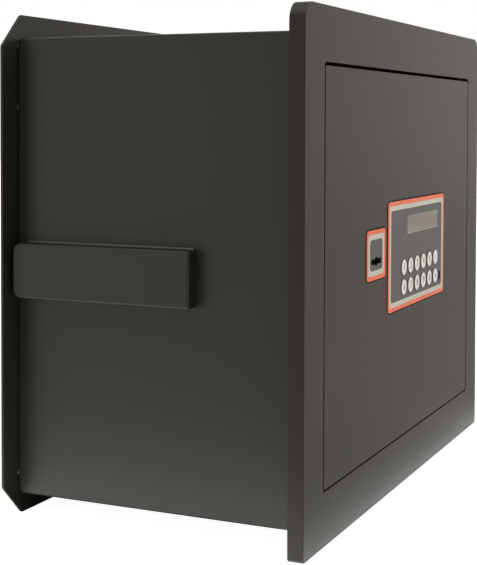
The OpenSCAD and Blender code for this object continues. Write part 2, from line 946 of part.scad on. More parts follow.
module key_rotor() {
    color(black_plastic)
        difference() {
            union() {
                rod_y(lock_x, lock_z, rotor_d, rotor_y0, rotor_y1);
                rod_y(lock_x, lock_z, spigot_d, rotor_y1 - over, cam_y1);
            }
            slab(rotor_y0 - over, rotor_y0 + keyway_deep)
                translate([lock_x, lock_z])
                    keyway();
        }
}

module lock_cam() {
    color(steel)
        difference() {
            union() {
                rod_y(lock_x, lock_z, cam_d, cam_y0, cam_y1);
                rod_y(lock_x - cam_reach, lock_z, cam_pin_d, cam_y1 - over, cam_pin_y1);
            }
            rod_y(lock_x, lock_z, spigot_d + 2 * press, cam_y0 - over, cam_y1 + over);
        }
}

// A round-headed screw along Y, whose head lies on the face at depth y
module screw_y(x, z, d, head, head_h, len, y) {
    difference() {
        union() {
            rod_y(x, z, d, y - len, y + head_h / 2);
            rod_y(x, z, head, y, y + head_h);
        }
        rod_y(x, z, d / 2, y + head_h / 2, y + head_h + over);
    }
}

module small_screws() {
    color(zinc) {
        for (s = [-1, 1])
            screw_y(lock_x + s * lock_screw_x, lock_z, screw_d, head_d, head_t, lock_screw_len,
                drill_back + lock_flange_t);
        for (sx = [-1, 1], sz = [-1, 1])
            screw_y(board_x + sx * (board_w / 2 - board_post_in),
                board_z + sz * (board_h / 2 - board_post_in),
                board_screw_d, board_head_d, board_head_t, board_screw_len, board_y1);
    }
}

module bolt_guides() {
    color(steel)
        for (z = bolt_zs)
            difference() {
                block(guide_x0, guide_x0 + guide_t, door_back, guide_back,
                    z - guide_h / 2, z + guide_h / 2);
                rod_x(bolt_y, z, bolt_d + 2 * run_fit, guide_x0 - over, guide_x0 + guide_t + over);
            }
}

module guide_studs() {
    neck_y = carriage_y - slide_gap;
    end_y = carriage_back + slide_gap;
    color(zinc)
        for (x = stud_xs, z = stud_zs)
            difference() {
                union() {
                    rod_y(x, z, stud_d, door_back, neck_y);
                    rod_y(x, z, neck_d, neck_y - over, end_y);
                }
                rod_y(x, z, screw_d + 2 * press, end_y - stud_screw_len - over, end_y + over);
            }
}

module guide_screws() {
    color(zinc)
        for (x = stud_xs, z = stud_zs)
            screw_y(x, z, screw_d, stud_head_d, stud_head_t, stud_screw_len,
                carriage_back + slide_gap);
}

module bolt_carriage() {
    z0 = bolt_zs[0] - carriage_over;
    z1 = bolt_zs[1] + carriage_over;
    x1 = lock_x + carriage_right;
    slot_r = neck_d / 2 + slide_gap;
    window_half = cam_reach + cam_pin_d / 2 + cam_clear;
    color(steel)
        difference() {
            union() {
                block(bolt_x1, x1, carriage_y, carriage_back, z0, z1);
                block(bolt_x1, bolt_x1 + flange_t, flange_y0, carriage_y + over, z0, z1);
                block(x1 - over, gear_x + rack_len / 2 + bolt_throw / 2, carriage_y, carriage_back,
                    rack_z + tooth_ded, rack_z + rack_h + arm_over);
            }
            block(lock_x - window_half, lock_x + window_half, carriage_y - over,
                carriage_back + over, lock_z - window_half, lock_z + window_half);
            for (x = stud_xs, z = stud_zs) {
                rod_y(x, z, 2 * slot_r, carriage_y - over, carriage_back + over);
                rod_y(x + bolt_throw, z, 2 * slot_r, carriage_y - over, carriage_back + over);
                block(x, x + bolt_throw, carriage_y - over, carriage_back + over,
                    z - slot_r, z + slot_r);
            }
            for (z = bolt_zs)
                rod_x(bolt_y, z, bolt_screw_d + 2 * press, bolt_x1 - over,
                    bolt_x1 + flange_t + over);
        }
}

// A round bolt with a chamfered tip and a threaded hole in its rear end
module locking_bolt(z) {
    color(steel)
        difference() {
            union() {
                rod_x(bolt_y, z, bolt_d, bolt_x0 + bolt_chamfer, bolt_x1);
                translate([bolt_x0, bolt_y, z])
                    rotate([0, 90, 0])
                        cylinder(h = bolt_chamfer, r1 = bolt_d / 2 - bolt_chamfer, r2 = bolt_d / 2);
            }
            rod_x(bolt_y, z, bolt_screw_d + 2 * press, bolt_x1 + flange_t - bolt_screw_len - over,
                bolt_x1 + over);
        }
}

module upper_bolt() {
    locking_bolt(bolt_zs[1]);
}

module lower_bolt() {
    locking_bolt(bolt_zs[0]);
}

module bolt_screws() {
    seat_x = bolt_x1 + flange_t;
    color(black_plastic)
        for (z = bolt_zs)
            difference() {
                union() {
                    rod_x(bolt_y, z, bolt_screw_d, seat_x - bolt_screw_len, seat_x + over);
                    rod_x(bolt_y, z, bolt_screw_head_d, seat_x, seat_x + bolt_screw_head_t);
                }
                rod_x(bolt_y, z, bolt_socket_d, seat_x + bolt_screw_head_t - bolt_socket_deep,
                    seat_x + bolt_screw_head_t + over);
            }
}

// The rack's teeth point down; a gap between two teeth sits over the pinion's axis
module drive_rack() {
    half_top = tooth_pitch / 4 - backlash / 4 - tooth_add * tan(pressure);
    half_root = tooth_pitch / 4 - backlash / 4 + tooth_ded * tan(pressure);
    x0 = gear_x - rack_len / 2 + bolt_throw / 2;
    x1 = x0 + rack_len;
    first = ceil((x0 - gear_x) / tooth_pitch + 0.5);
    last = floor((x1 - gear_x) / tooth_pitch - 0.5);
    color(brass_tone)
        slab(rack_y, carriage_y)
            union() {
                translate([x0, rack_z + tooth_ded])
                    square([rack_len, rack_h - tooth_ded]);
                for (i = [first : last - 1])
                    translate([gear_x + (i + 0.5) * tooth_pitch, rack_z])
                        polygon([
                            [-half_root, tooth_ded + tooth_lap], [-half_root, tooth_ded],
                            [-half_top, -tooth_add], [half_top, -tooth_add],
                            [half_root, tooth_ded], [half_root, tooth_ded + tooth_lap]
                        ]);
            }
}

// Angle, in degrees, that an involute has swept where its radius is r
function involute_sweep(r, base) = let (a = acos(base / r)) tan(a) * 180 / PI - a;

// One flank of a pinion tooth, from its root to its tip, mirrored by side
function flank(side, base, root, tip, half_angle, steps) = [
    for (i = [0 : steps])
        let (
            r = root + (tip - root) * i / steps,
            sweep = r > base ? involute_sweep(r, base) : 0,
            a = 90 + side * (half_angle + involute_sweep(pinion_r, base) - sweep)
        ) [r * cos(a), r * sin(a)]
];

module drive_pinion() {
    base = pinion_r * cos(pressure);
    root = pinion_r - tooth_ded;
    tip = pinion_r + tooth_add;
    half_angle = (tooth_pitch / 4 - backlash / 4) / pinion_r * 180 / PI;
    left = flank(1, base, root, tip, half_angle, flank_steps);
    right = flank(-1, base, root, tip, half_angle, flank_steps);
    tooth = concat(left, [for (i = [flank_steps : -1 : 0]) right[i]]);
    color(brass_tone) {
        slab(rack_y + tooth_lap, carriage_y - slide_gap)
            translate([gear_x, gear_z])
                union() {
                    circle(root + press);
                    for (i = [0 : pinion_teeth - 1])
                        rotate(i * 360 / pinion_teeth)
                            polygon(concat([[0, 0]], tooth));
                }
        rod_y(gear_x, gear_z, shaft_d, door_back + gearbox_t - shaft_deep, carriage_y - slide_gap);
    }
}

module gearbox() {
    half = gearbox_w / 2;
    color([0.30, 0.30, 0.32])
        difference() {
            union() {
                block(gear_x - half, gear_x + half, door_back, door_back + gearbox_t,
                    gear_z - half, gear_z + half);
                rod_y(gear_x, gear_z, boss_d, door_back + gearbox_t - over,
                    door_back + gearbox_t + boss_h);
            }
            rod_y(gear_x, gear_z, shaft_d + 2 * run_fit,
                door_back + gearbox_t - shaft_deep - over, door_back + gearbox_t + boss_h + over);
        }
}

module motor() {
    x0 = gear_x + gearbox_w / 2;
    color(zinc) {
        rod_x(motor_y, motor_z, motor_d, x0, x0 + motor_len);
        rod_x(motor_y, motor_z, motor_cap_d, x0 + motor_len - over, x0 + motor_len + motor_cap_len);
    }
}

module control_board() {
    color(board_green)
        difference() {
            plate(board_x, board_z, board_w, board_h, 2, board_y0, board_y1);
            for (sx = [-1, 1], sz = [-1, 1])
                rod_y(board_x + sx * (board_w / 2 - board_post_in),
                    board_z + sz * (board_h / 2 - board_post_in),
                    board_screw_d + 2 * press, board_y0 - over, board_y1 + over);
        }
    color(black_plastic) {
        plate(chip_x, board_z, chip_w, chip_w, part_r, board_y1, board_y1 + chip_t);
        plate(relay_x, board_z, relay_w, relay_w, part_r, board_y1,
            board_y1 + relay_t);
        for (i = [0, 1])
            rod_y(can_x + i * can_pitch, can_z, can_d, board_y1, board_y1 + can_t);
    }
    color(white_plastic)
        difference() {
            block(ribbon_x - socket_w / 2, ribbon_x + socket_w / 2, board_y1, board_y1 + socket_t,
                ribbon_z1 - 2, ribbon_z1 - 2 + socket_h);
            block(ribbon_x - ribbon_w / 2 - press, ribbon_x + ribbon_w / 2 + press,
                ribbon_y - ribbon_t / 2 - press, ribbon_y + ribbon_t / 2 + press,
                ribbon_z1 - 2 - over, ribbon_z1 + press);
        }
}

module board_posts() {
    color(brass_tone)
        for (sx = [-1, 1], sz = [-1, 1])
            difference() {
                rod_y(board_x + sx * (board_w / 2 - board_post_in),
                    board_z + sz * (board_h / 2 - board_post_in), board_post_d,
                    door_back, board_y0);
                rod_y(board_x + sx * (board_w / 2 - board_post_in),
                    board_z + sz * (board_h / 2 - board_post_in),
                    board_screw_d + 2 * press, board_y0 - board_post_bore, board_y0 + over);
            }
}

// A flat cable from the keypad's board through the hardened plate and up to the control board
module ribbon_cable() {
    x0 = ribbon_x - ribbon_w / 2;
    x1 = ribbon_x + ribbon_w / 2;
    color([0.70, 0.70, 0.72]) {
        block(x0, x1, pad_board_y + board_t, ribbon_y + ribbon_t / 2,
            ribbon_z0 - ribbon_t / 2, ribbon_z0 + ribbon_t / 2);
        block(x0, x1, ribbon_y - ribbon_t / 2, ribbon_y + ribbon_t / 2,
            ribbon_z0 - ribbon_t / 2, ribbon_z1);
    }
}

module battery_box() {
    color(black_plastic)
        difference() {
            block(box_x - box_w / 2, box_x + box_w / 2, box_y0, cover_inner,
                box_z - box_h / 2, box_z + box_h / 2);
            block(box_x - box_w / 2 + box_wall, box_x + box_w / 2 - box_wall,
                box_y0 + box_wall, cover_inner + over,
                box_z - box_h / 2 + box_wall, box_z + box_h / 2 - box_wall);
        }
}

module batteries() {
    y = box_y0 + box_wall + cell_d / 2 + rest_gap;
    z0 = box_z - box_h / 2 + box_wall + rest_gap;
    color([0.20, 0.24, 0.34])
        for (i = [0 : cell_count - 1]) {
            x = box_x + (i - (cell_count - 1) / 2) * cell_pitch;
            rod_z(x, y, cell_d, z0, z0 + cell_len - nub_len);
            rod_z(x, y, nub_d, z0 + cell_len - 2 * nub_len, z0 + cell_len);
        }
}

module cover_posts() {
    color(zinc)
        for (x = post_xs, z = post_zs)
            difference() {
                rod_y(x, z, post_d, door_back, cover_inner);
                rod_y(x, z, screw_d + 2 * press, cover_inner - post_bore_len, cover_inner + over);
            }
}

module cover_outline(inset) {
    translate([cover_mid_x, (cover_z0 + cover_z1) / 2])
        rounded(cover_x1 - cover_x0 - 2 * inset, cover_z1 - cover_z0 - 2 * inset,
            max(cover_r - inset, 0.5));
}

// A deep tray whose rear wall has the battery opening and two ears for the lid
module door_cover() {
    ear_x = knuckle_len / 2 + ear_gap;
    color(paint)
        difference() {
            union() {
                slab(door_back, cover_y1)
                    cover_outline(0);
                for (s = [-1, 1])
                    block(box_x + s * ear_x - (s < 0 ? ear_t : 0),
                        box_x + s * ear_x + (s < 0 ? 0 : ear_t),
                        cover_y1 - over / 2, knuckle_y + knuckle_d / 2,
                        knuckle_z - knuckle_d / 2, knuckle_z + knuckle_d / 2);
            }
            slab(door_back - over, cover_inner)
                cover_outline(cover_wall);
            plate(box_x, box_z, lid_w - 2 * lid_lap, lid_h - 2 * lid_lap, part_r,
                cover_inner - over, cover_y1 + over);
            rod_x(knuckle_y, knuckle_z, stub_d + 2 * run_fit, box_x - ear_x - ear_t - over,
                box_x + ear_x + ear_t + over);
            for (x = post_xs, z = post_zs)
                rod_y(x, z, screw_d + 2 * press, cover_inner - over, cover_y1 + over);
            for (z = bolt_zs)
                rod_x(bolt_y, z, bolt_d + 2, cover_x0 - over, cover_x0 + cover_wall + over);
        }
}

module cover_screws() {
    color(zinc)
        for (x = post_xs, z = post_zs)
            screw_y(x, z, screw_d, head_d, head_t, screw_len, cover_y1);
}

// The lid hangs from its knuckle, whose stubs sit in the cover's ears
module battery_lid() {
    stub_out = knuckle_len / 2 + ear_gap + ear_t;
    color(black_plastic) {
        block(box_x - lid_w / 2, box_x + lid_w / 2, lid_y0, lid_y0 + lid_t,
            box_z - lid_h / 2, lid_z1);
        block(box_x - knuckle_len / 2, box_x + knuckle_len / 2, lid_y0, lid_y0 + lid_t,
            lid_z1 - over, knuckle_z);
        rod_x(knuckle_y, knuckle_z, knuckle_d, box_x - knuckle_len / 2, box_x + knuckle_len / 2);
        rod_x(knuckle_y, knuckle_z, stub_d, box_x - stub_out, box_x + stub_out);
        block(box_x - tab_w / 2, box_x + tab_w / 2, lid_y0, lid_y0 + 2 * lid_t,
            box_z - lid_h / 2 - tab_out, box_z - lid_h / 2 + over);
    }
}

// A round key with a collar that keeps it behind the face
module key_cap(col, row) {
    x = pad_x - key_first + col * key_pitch;
    z = key_row_z - row * key_row_pitch;
    color(white_plastic) {
        rod_y(x, z, key_d, face_front - key_proud, key_bottom);
        rod_y(x, z, key_d + 2 * collar_w, collar_y0, key_bottom);
    }
}

module key_1() { key_cap(0, 0); }
module key_2() { key_cap(1, 0); }
module key_3() { key_cap(2, 0); }
module key_4() { key_cap(3, 0); }
module key_5() { key_cap(4, 0); }
module key_enter() { key_cap(5, 0); }
module key_6() { key_cap(0, 1); }
module key_7() { key_cap(1, 1); }
module key_8() { key_cap(2, 1); }
module key_9() { key_cap(3, 1); }
module key_0() { key_cap(4, 1); }
module key_clear() { key_cap(5, 1); }

front_frame();
body_shell();
back_plate();
left_anchor();
right_anchor();
floor_mat();
hinge_bushes();
hinge_washer();
door_leaf();
hinge_pins();
drill_plate();
keypad_housing();
keypad_bezel();
keypad_band();
keypad_face();
display_window();
display_module();
keypad_mat();
keypad_board();
contact_socket();
key_plate_bezel();
key_plate_band();
key_plate_face();
lock_housing();
small_screws();
bolt_guides();
guide_studs();
guide_screws();
gearbox();
motor();
control_board();
board_posts();
ribbon_cable();
battery_box();
batteries();
cover_posts();
door_cover();
cover_screws();
battery_lid();
key_1();
key_2();
key_3();
key_4();
key_5();
key_enter();
key_6();
key_7();
key_8();
key_9();
key_0();
key_clear();
key_rotor();
lock_cam();
bolt_carriage();
upper_bolt();
lower_bolt();
bolt_screws();
drive_rack();
drive_pinion();
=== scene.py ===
import json
import math

import bmesh
import bpy
from mathutils import Matrix, Vector


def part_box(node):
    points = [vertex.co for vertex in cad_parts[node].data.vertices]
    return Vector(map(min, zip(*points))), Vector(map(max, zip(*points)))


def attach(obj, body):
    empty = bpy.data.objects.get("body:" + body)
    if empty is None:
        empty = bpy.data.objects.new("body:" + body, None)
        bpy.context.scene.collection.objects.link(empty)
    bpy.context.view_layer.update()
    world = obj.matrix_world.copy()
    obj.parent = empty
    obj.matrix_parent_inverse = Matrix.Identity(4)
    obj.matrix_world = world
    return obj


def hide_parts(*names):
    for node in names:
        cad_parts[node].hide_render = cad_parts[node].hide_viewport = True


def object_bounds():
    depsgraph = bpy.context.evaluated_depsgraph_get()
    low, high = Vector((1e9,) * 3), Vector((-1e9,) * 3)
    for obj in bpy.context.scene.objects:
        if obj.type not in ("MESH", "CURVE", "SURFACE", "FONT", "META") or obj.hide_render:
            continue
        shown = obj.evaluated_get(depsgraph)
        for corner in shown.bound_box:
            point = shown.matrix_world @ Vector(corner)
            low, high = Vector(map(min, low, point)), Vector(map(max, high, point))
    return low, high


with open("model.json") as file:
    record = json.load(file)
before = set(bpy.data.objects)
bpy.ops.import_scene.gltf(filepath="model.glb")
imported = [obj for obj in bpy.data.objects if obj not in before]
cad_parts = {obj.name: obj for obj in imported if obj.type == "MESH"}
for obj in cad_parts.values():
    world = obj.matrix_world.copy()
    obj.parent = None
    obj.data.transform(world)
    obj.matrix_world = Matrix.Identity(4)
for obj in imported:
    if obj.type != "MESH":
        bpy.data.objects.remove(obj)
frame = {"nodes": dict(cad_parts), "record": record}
cad_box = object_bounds()

# Millimetres in metres
MM = 0.001
# How far a cutter reaches past a surface
PAST = 1 * MM
# How close to an end an edge has to lie to be chosen
NEAR = 1 * MM
# How far a corner may lie off a plane and still count as on it
ON = 0.01 * MM

# The photograph's frame in pixels, and the camera found from it, in metres
PHOTO_W = 477
PHOTO_H = 565
FOCAL_PX = 1304.2
CENTRE_U = 238.48
CENTRE_V = 162.83
CAMERA_AT = (-0.9601, -0.4053, 0.2743)
CAMERA_YAW = math.radians(65.512)
CAMERA_DROP = math.radians(1.756)
CAMERA_ROLL = math.radians(-0.160)
SENSOR = 36.0
CLIP_START = 0.01
CLIP_END = 50

# Lamps: name, place, size in metres, power in watts
LAMPS = (
    ("front_right", (0.9, -2.2, 1.2), 1.4, 4),
    ("overhead", (-0.7, 0.3, 2.2), 1.8, 15),
    ("right_wall", (2.2, -0.20, 0.90), 1.8, 7.8),
    ("left_wall", (-1.0, 0.62, 0.3), 0.7, 0.8),
    ("back_right", (1.6, 1.3, 0.9), 1.4, 14),
    ("front_floor", (-0.1, -0.60, 0.60), 0.5, 1.2),
)
FLOOR_AIM = (-0.1, -0.40, 0)
LIGHT_TINT = (1.0, 0.965, 0.90)
FRONT_TINT = (1.0, 0.89, 0.84)
STUDIO_GLOW = 0.45

# Floor: its size and drop under the safe, how bright the camera sees it, and how strong,
# how long and how wide its painted glow is: a pool of painted light round the safe, none under it,
# that stands in for the light the floor throws back
FLOOR_SIZE = 14
FLOOR_DROP = 0.0005
FLOOR_GREY = 0.82
FLOOR_ROUGH = 0.9
FLOOR_SEEN = 0.95
PAINTED_GLOW = 1.8
PAINTED_GLOW_BACK = 0.15
PAINTED_GLOW_INSET = 0.03
PAINTED_GLOW_SHAPE = (1.6, 3.8, 0)
PAINTED_GLOW_START = 0.004
PAINTED_GLOW_NEAR = 0.03
PAINTED_GLOW_FAR = 0.28

# Front frame and door
OPENING_W = 358.5 * MM
OPENING_H = 277.5 * MM
OPENING_Z = 36 * MM
OPENING_R = 3 * MM
FRAME_TOP_R = 12.5 * MM
FRAME_FOOT_R = 2.5 * MM
FRAME_EDGE = 0.8 * MM
DOOR_R = 2 * MM
DOOR_EDGE = 0.6 * MM
KEYHOLE_R = 11.2 * MM
GROOVE_W = 0.9 * MM
GROOVE_DEPTH = 0.9 * MM
POCKET_GAP = 0.15 * MM
POCKET_R = 2.95 * MM
PIN_DEPTH = 14 * MM

# Body
BODY_R = 1.5 * MM
BODY_IN_R = 0.5 * MM
BODY_REAR_R = 4 * MM
BODY_EDGE = 0.25 * MM
SEAT_GAP = 0.15 * MM
BODY_WALL = 3 * MM
PLATE_CHAMFER = 22.5 * MM
PLATE_CORNER_R = 1.3 * MM
PLATE_EDGE = 0.45 * MM
ANCHOR_R = 6 * MM
ANCHOR_FRONT_R = 1.8 * MM
ANCHOR_BEND = 2 * MM
ANCHOR_WALL = 2.5 * MM
ANCHOR_EDGE = 0.2 * MM
SEAM_H = 1.1 * MM
SEAM_SINK = 0.2 * MM
SEAM_R = 0.8 * MM
TACK_R = 1.3 * MM
TACK_LEN = 4 * MM
TACK_SWELLS = (0.35, 0.85, 0.72, 1.0, 0.8, 0.7, 0.3)
TACK_HEIGHTS = (30 * MM, 285 * MM, 327.5 * MM)
MAT_R = 3 * MM
MAT_EDGE = 0.9 * MM

# Keypad and key plate
RIM_W = 3.1 * MM
BAND_W = 3.7 * MM
RIM_R = 3.5 * MM
BAND_R = 2.5 * MM
PAD_FACE_R = 3 * MM
PLATE_FACE_R = 3.5 * MM
RIM_EDGE = 0.45 * MM
BAND_EDGE = 0.15 * MM
PANEL_EDGE = 0.18 * MM
PLATE_PANEL_EDGE = 0.12 * MM
WINDOW_LIP = 1 * MM
WINDOW_R = 1 * MM
PANE_LIP = 1.15 * MM
PANE_R = 0.85 * MM
PANE_RIM = 0.6 * MM
PANE_SINK = 0.2 * MM
PANE_EDGE = 0.05 * MM
SLOT_LIP = 0.5 * MM
SLOT_R = 0.6 * MM
KEYWAY_W = 21.8 * MM
KEYWAY_H = 4 * MM
KEYWAY_EYE_R = 3.4 * MM

# Keys: the crown's steps are how far in and how far up, in millimetres
KEY_GAP = 0.45 * MM
KEY_R = 5.85 * MM
KEY_CROWN = ((0.25, 0.14), (1.6, 0.04), (2.0, 0.02))
KEY_DROP = 0.6 * MM
KEY_TOP_T = 0.15 * MM
KEY_SKIRT_R = 5.75 * MM
KEY_COLLAR_T = 0.8 * MM
FONT_SIZE = 7.56 * MM
MARK_T = 0.05 * MM
MARK_LIFT = 0.01 * MM
SIGN_R = 1.3 * MM
RING_WIRE_R = 0.25 * MM

# Door cover, its screws and its battery lid
COVER_R = 4 * MM
COVER_WALL = 1.5 * MM
COVER_EDGE = 0.5 * MM
BATTERY_LAP = 3.5 * MM
BATTERY_HOLE_R = 0.5 * MM
BOLT_HOLE_GAP = 1 * MM
EAR_W = 2.5 * MM
EAR_SINK = 0.5 * MM
EAR_R = 1.2 * MM
HEAD_R = 3.8 * MM
HEAD_T = 2.4 * MM
HEAD_DOME = 1.1 * MM
CROSS_LONG = 2.1 * MM
CROSS_HALF_W = 0.45 * MM
CROSS_DEPTH = 1.2 * MM
SHANK_R = 1.9 * MM
LID_GAP = 1.5 * MM
LID_T = 2 * MM
LID_R = 1.5 * MM
KNUCKLE_R = 2 * MM
KNUCKLE_IN = 5 * MM
STUB_R = 1 * MM
TAB_HALF_W = 8 * MM
TAB_T = 4 * MM
RIB_IN = 18 * MM
RIB_SINK = 0.2 * MM
RIB_H = 0.6 * MM
RIB_W = 1.1 * MM
RIBS = 5
# The ribs' start and spacing, in millimetres
RIB_START = 5
RIB_PITCH = 2.2
SMALL_EDGE = 0.2 * MM

# Bolts
BOLT_CHAMFER = 1.5 * MM
BOLT_EDGE = 0.25 * MM
BOLT_BORE_R = 4.02 * MM
BOLT_BORE_DEPTH = 19 * MM

# Gloss of a clear top layer
COAT_ROUGH = 0.12

KEYS = {
    "key_1": "1", "key_2": "2", "key_3": "3", "key_4": "4", "key_5": "5", "key_enter": "ring",
    "key_6": "6", "key_7": "7", "key_8": "8", "key_9": "9", "key_0": "0", "key_clear": "disc",
}


# Modelling

def alone(piece):
    """Makes a piece the active object and the only one selected."""
    bpy.ops.object.select_all(action="DESELECT")
    bpy.context.view_layer.objects.active = piece
    piece.select_set(True)


def box(name, lo, hi):
    """A cube between two corners, its place in its mesh."""
    bpy.ops.object.select_all(action="DESELECT")
    lo, hi = Vector(lo), Vector(hi)
    bpy.ops.mesh.primitive_cube_add(size=1, location=(lo + hi) / 2, scale=hi - lo)
    piece = bpy.context.active_object
    piece.name = piece.data.name = name
    bpy.ops.object.transform_apply(location=True, rotation=True, scale=True)
    return piece


TURNS = {0: (0, math.pi / 2, 0), 1: (-math.pi / 2, 0, 0), 2: (0, 0, 0)}


def bar(name, axis, middle, radius, low, high, sides=48):
    """A round bar along an axis: middle is a point on it, low and high its ends."""
    bpy.ops.object.select_all(action="DESELECT")
    place = Vector(middle)
    place[axis] = (low + high) / 2
    bpy.ops.mesh.primitive_cylinder_add(
        vertices=sides, radius=radius, depth=high - low, location=place, rotation=TURNS[axis])
    piece = bpy.context.active_object
    piece.name = piece.data.name = name
    bpy.ops.object.transform_apply(location=True, rotation=True, scale=True)
    return piece


def choose(piece, kind, test):
    """Edit mode, with only the faces, edges or corners selected that pass the test."""
    alone(piece)
    bpy.ops.object.mode_set(mode="EDIT")
    bpy.ops.mesh.select_mode(type=kind)
    bpy.ops.mesh.select_all(action="DESELECT")
    mesh = bmesh.from_edit_mesh(piece.data)
    parts = {"FACE": mesh.faces, "EDGE": mesh.edges, "VERT": mesh.verts}[kind]
    for part in parts:
        if test(part):
            part.select_set(True)
    mesh.select_flush_mode()
    bmesh.update_edit_mesh(piece.data)


def done():
    """Back from edit mode."""
    bpy.ops.object.mode_set(mode="OBJECT")


def along(axis, where=lambda p: True):
    """Passes edges that run along an axis and whose middle is where it says."""
    def test(edge):
        a, b = (v.co for v in edge.verts)
        way = b - a
        return abs(way[axis]) > 0.999 * way.length and where((a + b) / 2)
    return test


def facing(way):
    """Passes faces that look one way."""
    way = Vector(way)
    return lambda face: face.normal.dot(way) > 0.99


def round_edges(piece, test, width, steps):
    """Rounds the edges that pass the test, or cuts them off where steps is 1."""
    choose(piece, "EDGE", test)
    bpy.ops.mesh.bevel(offset=width, segments=steps, profile=0.5, affect="EDGES")
    done()


def shade(piece, angle=35):
    """Smooth shading that leaves the large flat faces flat."""
    alone(piece)
    bpy.ops.object.shade_smooth_by_angle(angle=math.radians(angle))
    flat = piece.modifiers.new("flat", "WEIGHTED_NORMAL")
    flat.keep_sharp = True
    bpy.ops.object.modifier_apply(modifier=flat.name)
    return piece


def soften(piece, width, steps=3, angle=35):
    """Rounds every sharp edge that is left and shades the piece."""
    alone(piece)
    bevel = piece.modifiers.new("edges", "BEVEL")
    bevel.width = width
    bevel.segments = steps
    bevel.limit_method = "ANGLE"
    bevel.angle_limit = math.radians(angle)
    bevel.use_clamp_overlap = True
    bpy.ops.object.modifier_apply(modifier=bevel.name)
    return shade(piece, angle)


def work_in(piece, other, operation):
    """Takes another piece's form out of one, or adds it, and removes the other."""
    alone(piece)
    boolean = piece.modifiers.new("boolean", "BOOLEAN")
    boolean.operation = operation
    boolean.solver = "EXACT"
    boolean.object = other
    bpy.ops.object.modifier_apply(modifier=boolean.name)
    bpy.data.objects.remove(other)


def cut(piece, *cutters):
    """Takes several forms out of a piece."""
    for cutter in cutters:
        work_in(piece, cutter, "DIFFERENCE")
    return piece


def join(piece, *others):
    """Makes several pieces one object."""
    alone(piece)
    for other in others:
        other.select_set(True)
    bpy.ops.object.join()
    return piece


def tile(name, lo, hi, radius, steps=8):
    """A plate whose corners, seen from the front, are rounded."""
    piece = box(name, lo, hi)
    if radius > 0:
        round_edges(piece, along(1), radius, steps)
    return piece


def grown(corners, by_xz, by_y=0.0):
    """A box's corners moved outwards, alike in X and Z."""
    lo, hi = corners
    by = Vector((by_xz, by_y, by_xz))
    return lo - by, hi + by


def ring(name, corners, wall, outer_r, inner_r):
    """A flat frame round a rectangle."""
    piece = tile(name, *corners, outer_r)
    lo, hi = grown(corners, -wall, PAST)
    return cut(piece, tile("cutter", lo, hi, inner_r))


def twin(piece, name, offset):
    """A copy with its own mesh, moved by an offset."""
    copy = piece.copy()
    copy.data = piece.data.copy()
    copy.name = copy.data.name = name
    bpy.context.scene.collection.objects.link(copy)
    copy.data.transform(Matrix.Translation(offset))
    return copy


def mirrored(piece, name):
    """A copy on the other side of the safe, turned right side out."""
    copy = twin(piece, name, Vector((0, 0, 0)))
    copy.data.transform(Matrix.Scale(-1, 4, Vector((1, 0, 0))))
    choose(copy, "FACE", lambda f: True)
    bpy.ops.mesh.normals_make_consistent(inside=False)
    done()
    return shade(copy)


def settle(piece, body, material, nodes=()):
    """Gives a finished piece its material and its body, and hides the CAD nodes it stands for."""
    piece.data.materials.clear()
    piece.data.materials.append(material)
    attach(piece, body)
    if nodes:
        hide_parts(*nodes)
    return piece


# Materials

def grain_group():
    """Fine grain and broad unevenness of a surface, as a height and a mask."""
    group = bpy.data.node_groups.new("surface_grain", "ShaderNodeTree")
    for name, value in (("Grain Size", 900.0), ("Patch Size", 9.0)):
        socket = group.interface.new_socket(name, in_out="INPUT", socket_type="NodeSocketFloat")
        socket.default_value = value
    for name in ("Height", "Patches"):
        group.interface.new_socket(name, in_out="OUTPUT", socket_type="NodeSocketFloat")
    nodes, links = group.nodes, group.links
    given = nodes.new("NodeGroupInput")
    out = nodes.new("NodeGroupOutput")
    place = nodes.new("ShaderNodeTexCoord")
    fine = nodes.new("ShaderNodeTexNoise")
    fine.inputs["Detail"].default_value = 3
    broad = nodes.new("ShaderNodeTexNoise")
    broad.inputs["Detail"].default_value = 2
    for texture, size in ((fine, "Grain Size"), (broad, "Patch Size")):
        links.new(place.outputs["Object"], texture.inputs["Vector"])
        links.new(given.outputs[size], texture.inputs["Scale"])
    links.new(fine.outputs["Fac"], out.inputs["Height"])
    links.new(broad.outputs["Fac"], out.inputs["Patches"])
    return group


def lines_group():
    """Fine straight machining lines, drawn out along X."""
    group = bpy.data.node_groups.new("machined_lines", "ShaderNodeTree")
    socket = group.interface.new_socket("Stretch", in_out="INPUT", socket_type="NodeSocketVector")
    socket.default_value = (30, 1500, 1500)
    for name in ("Height", "Streaks"):
        group.interface.new_socket(name, in_out="OUTPUT", socket_type="NodeSocketFloat")
    nodes, links = group.nodes, group.links
    given = nodes.new("NodeGroupInput")
    out = nodes.new("NodeGroupOutput")
    place = nodes.new("ShaderNodeTexCoord")
    stretch = nodes.new("ShaderNodeVectorMath")
    stretch.operation = "MULTIPLY"
    noise = nodes.new("ShaderNodeTexNoise")
    noise.inputs["Scale"].default_value = 1
    noise.inputs["Detail"].default_value = 4
    wide = nodes.new("ShaderNodeTexNoise")
    wide.inputs["Scale"].default_value = 40
    links.new(place.outputs["Object"], stretch.inputs[0])
    links.new(given.outputs["Stretch"], stretch.inputs[1])
    links.new(stretch.outputs["Vector"], noise.inputs["Vector"])
    links.new(place.outputs["Object"], wide.inputs["Vector"])
    links.new(noise.outputs["Fac"], out.inputs["Height"])
    links.new(wide.outputs["Fac"], out.inputs["Streaks"])
    return group


GRAIN = grain_group()
LINES = lines_group()


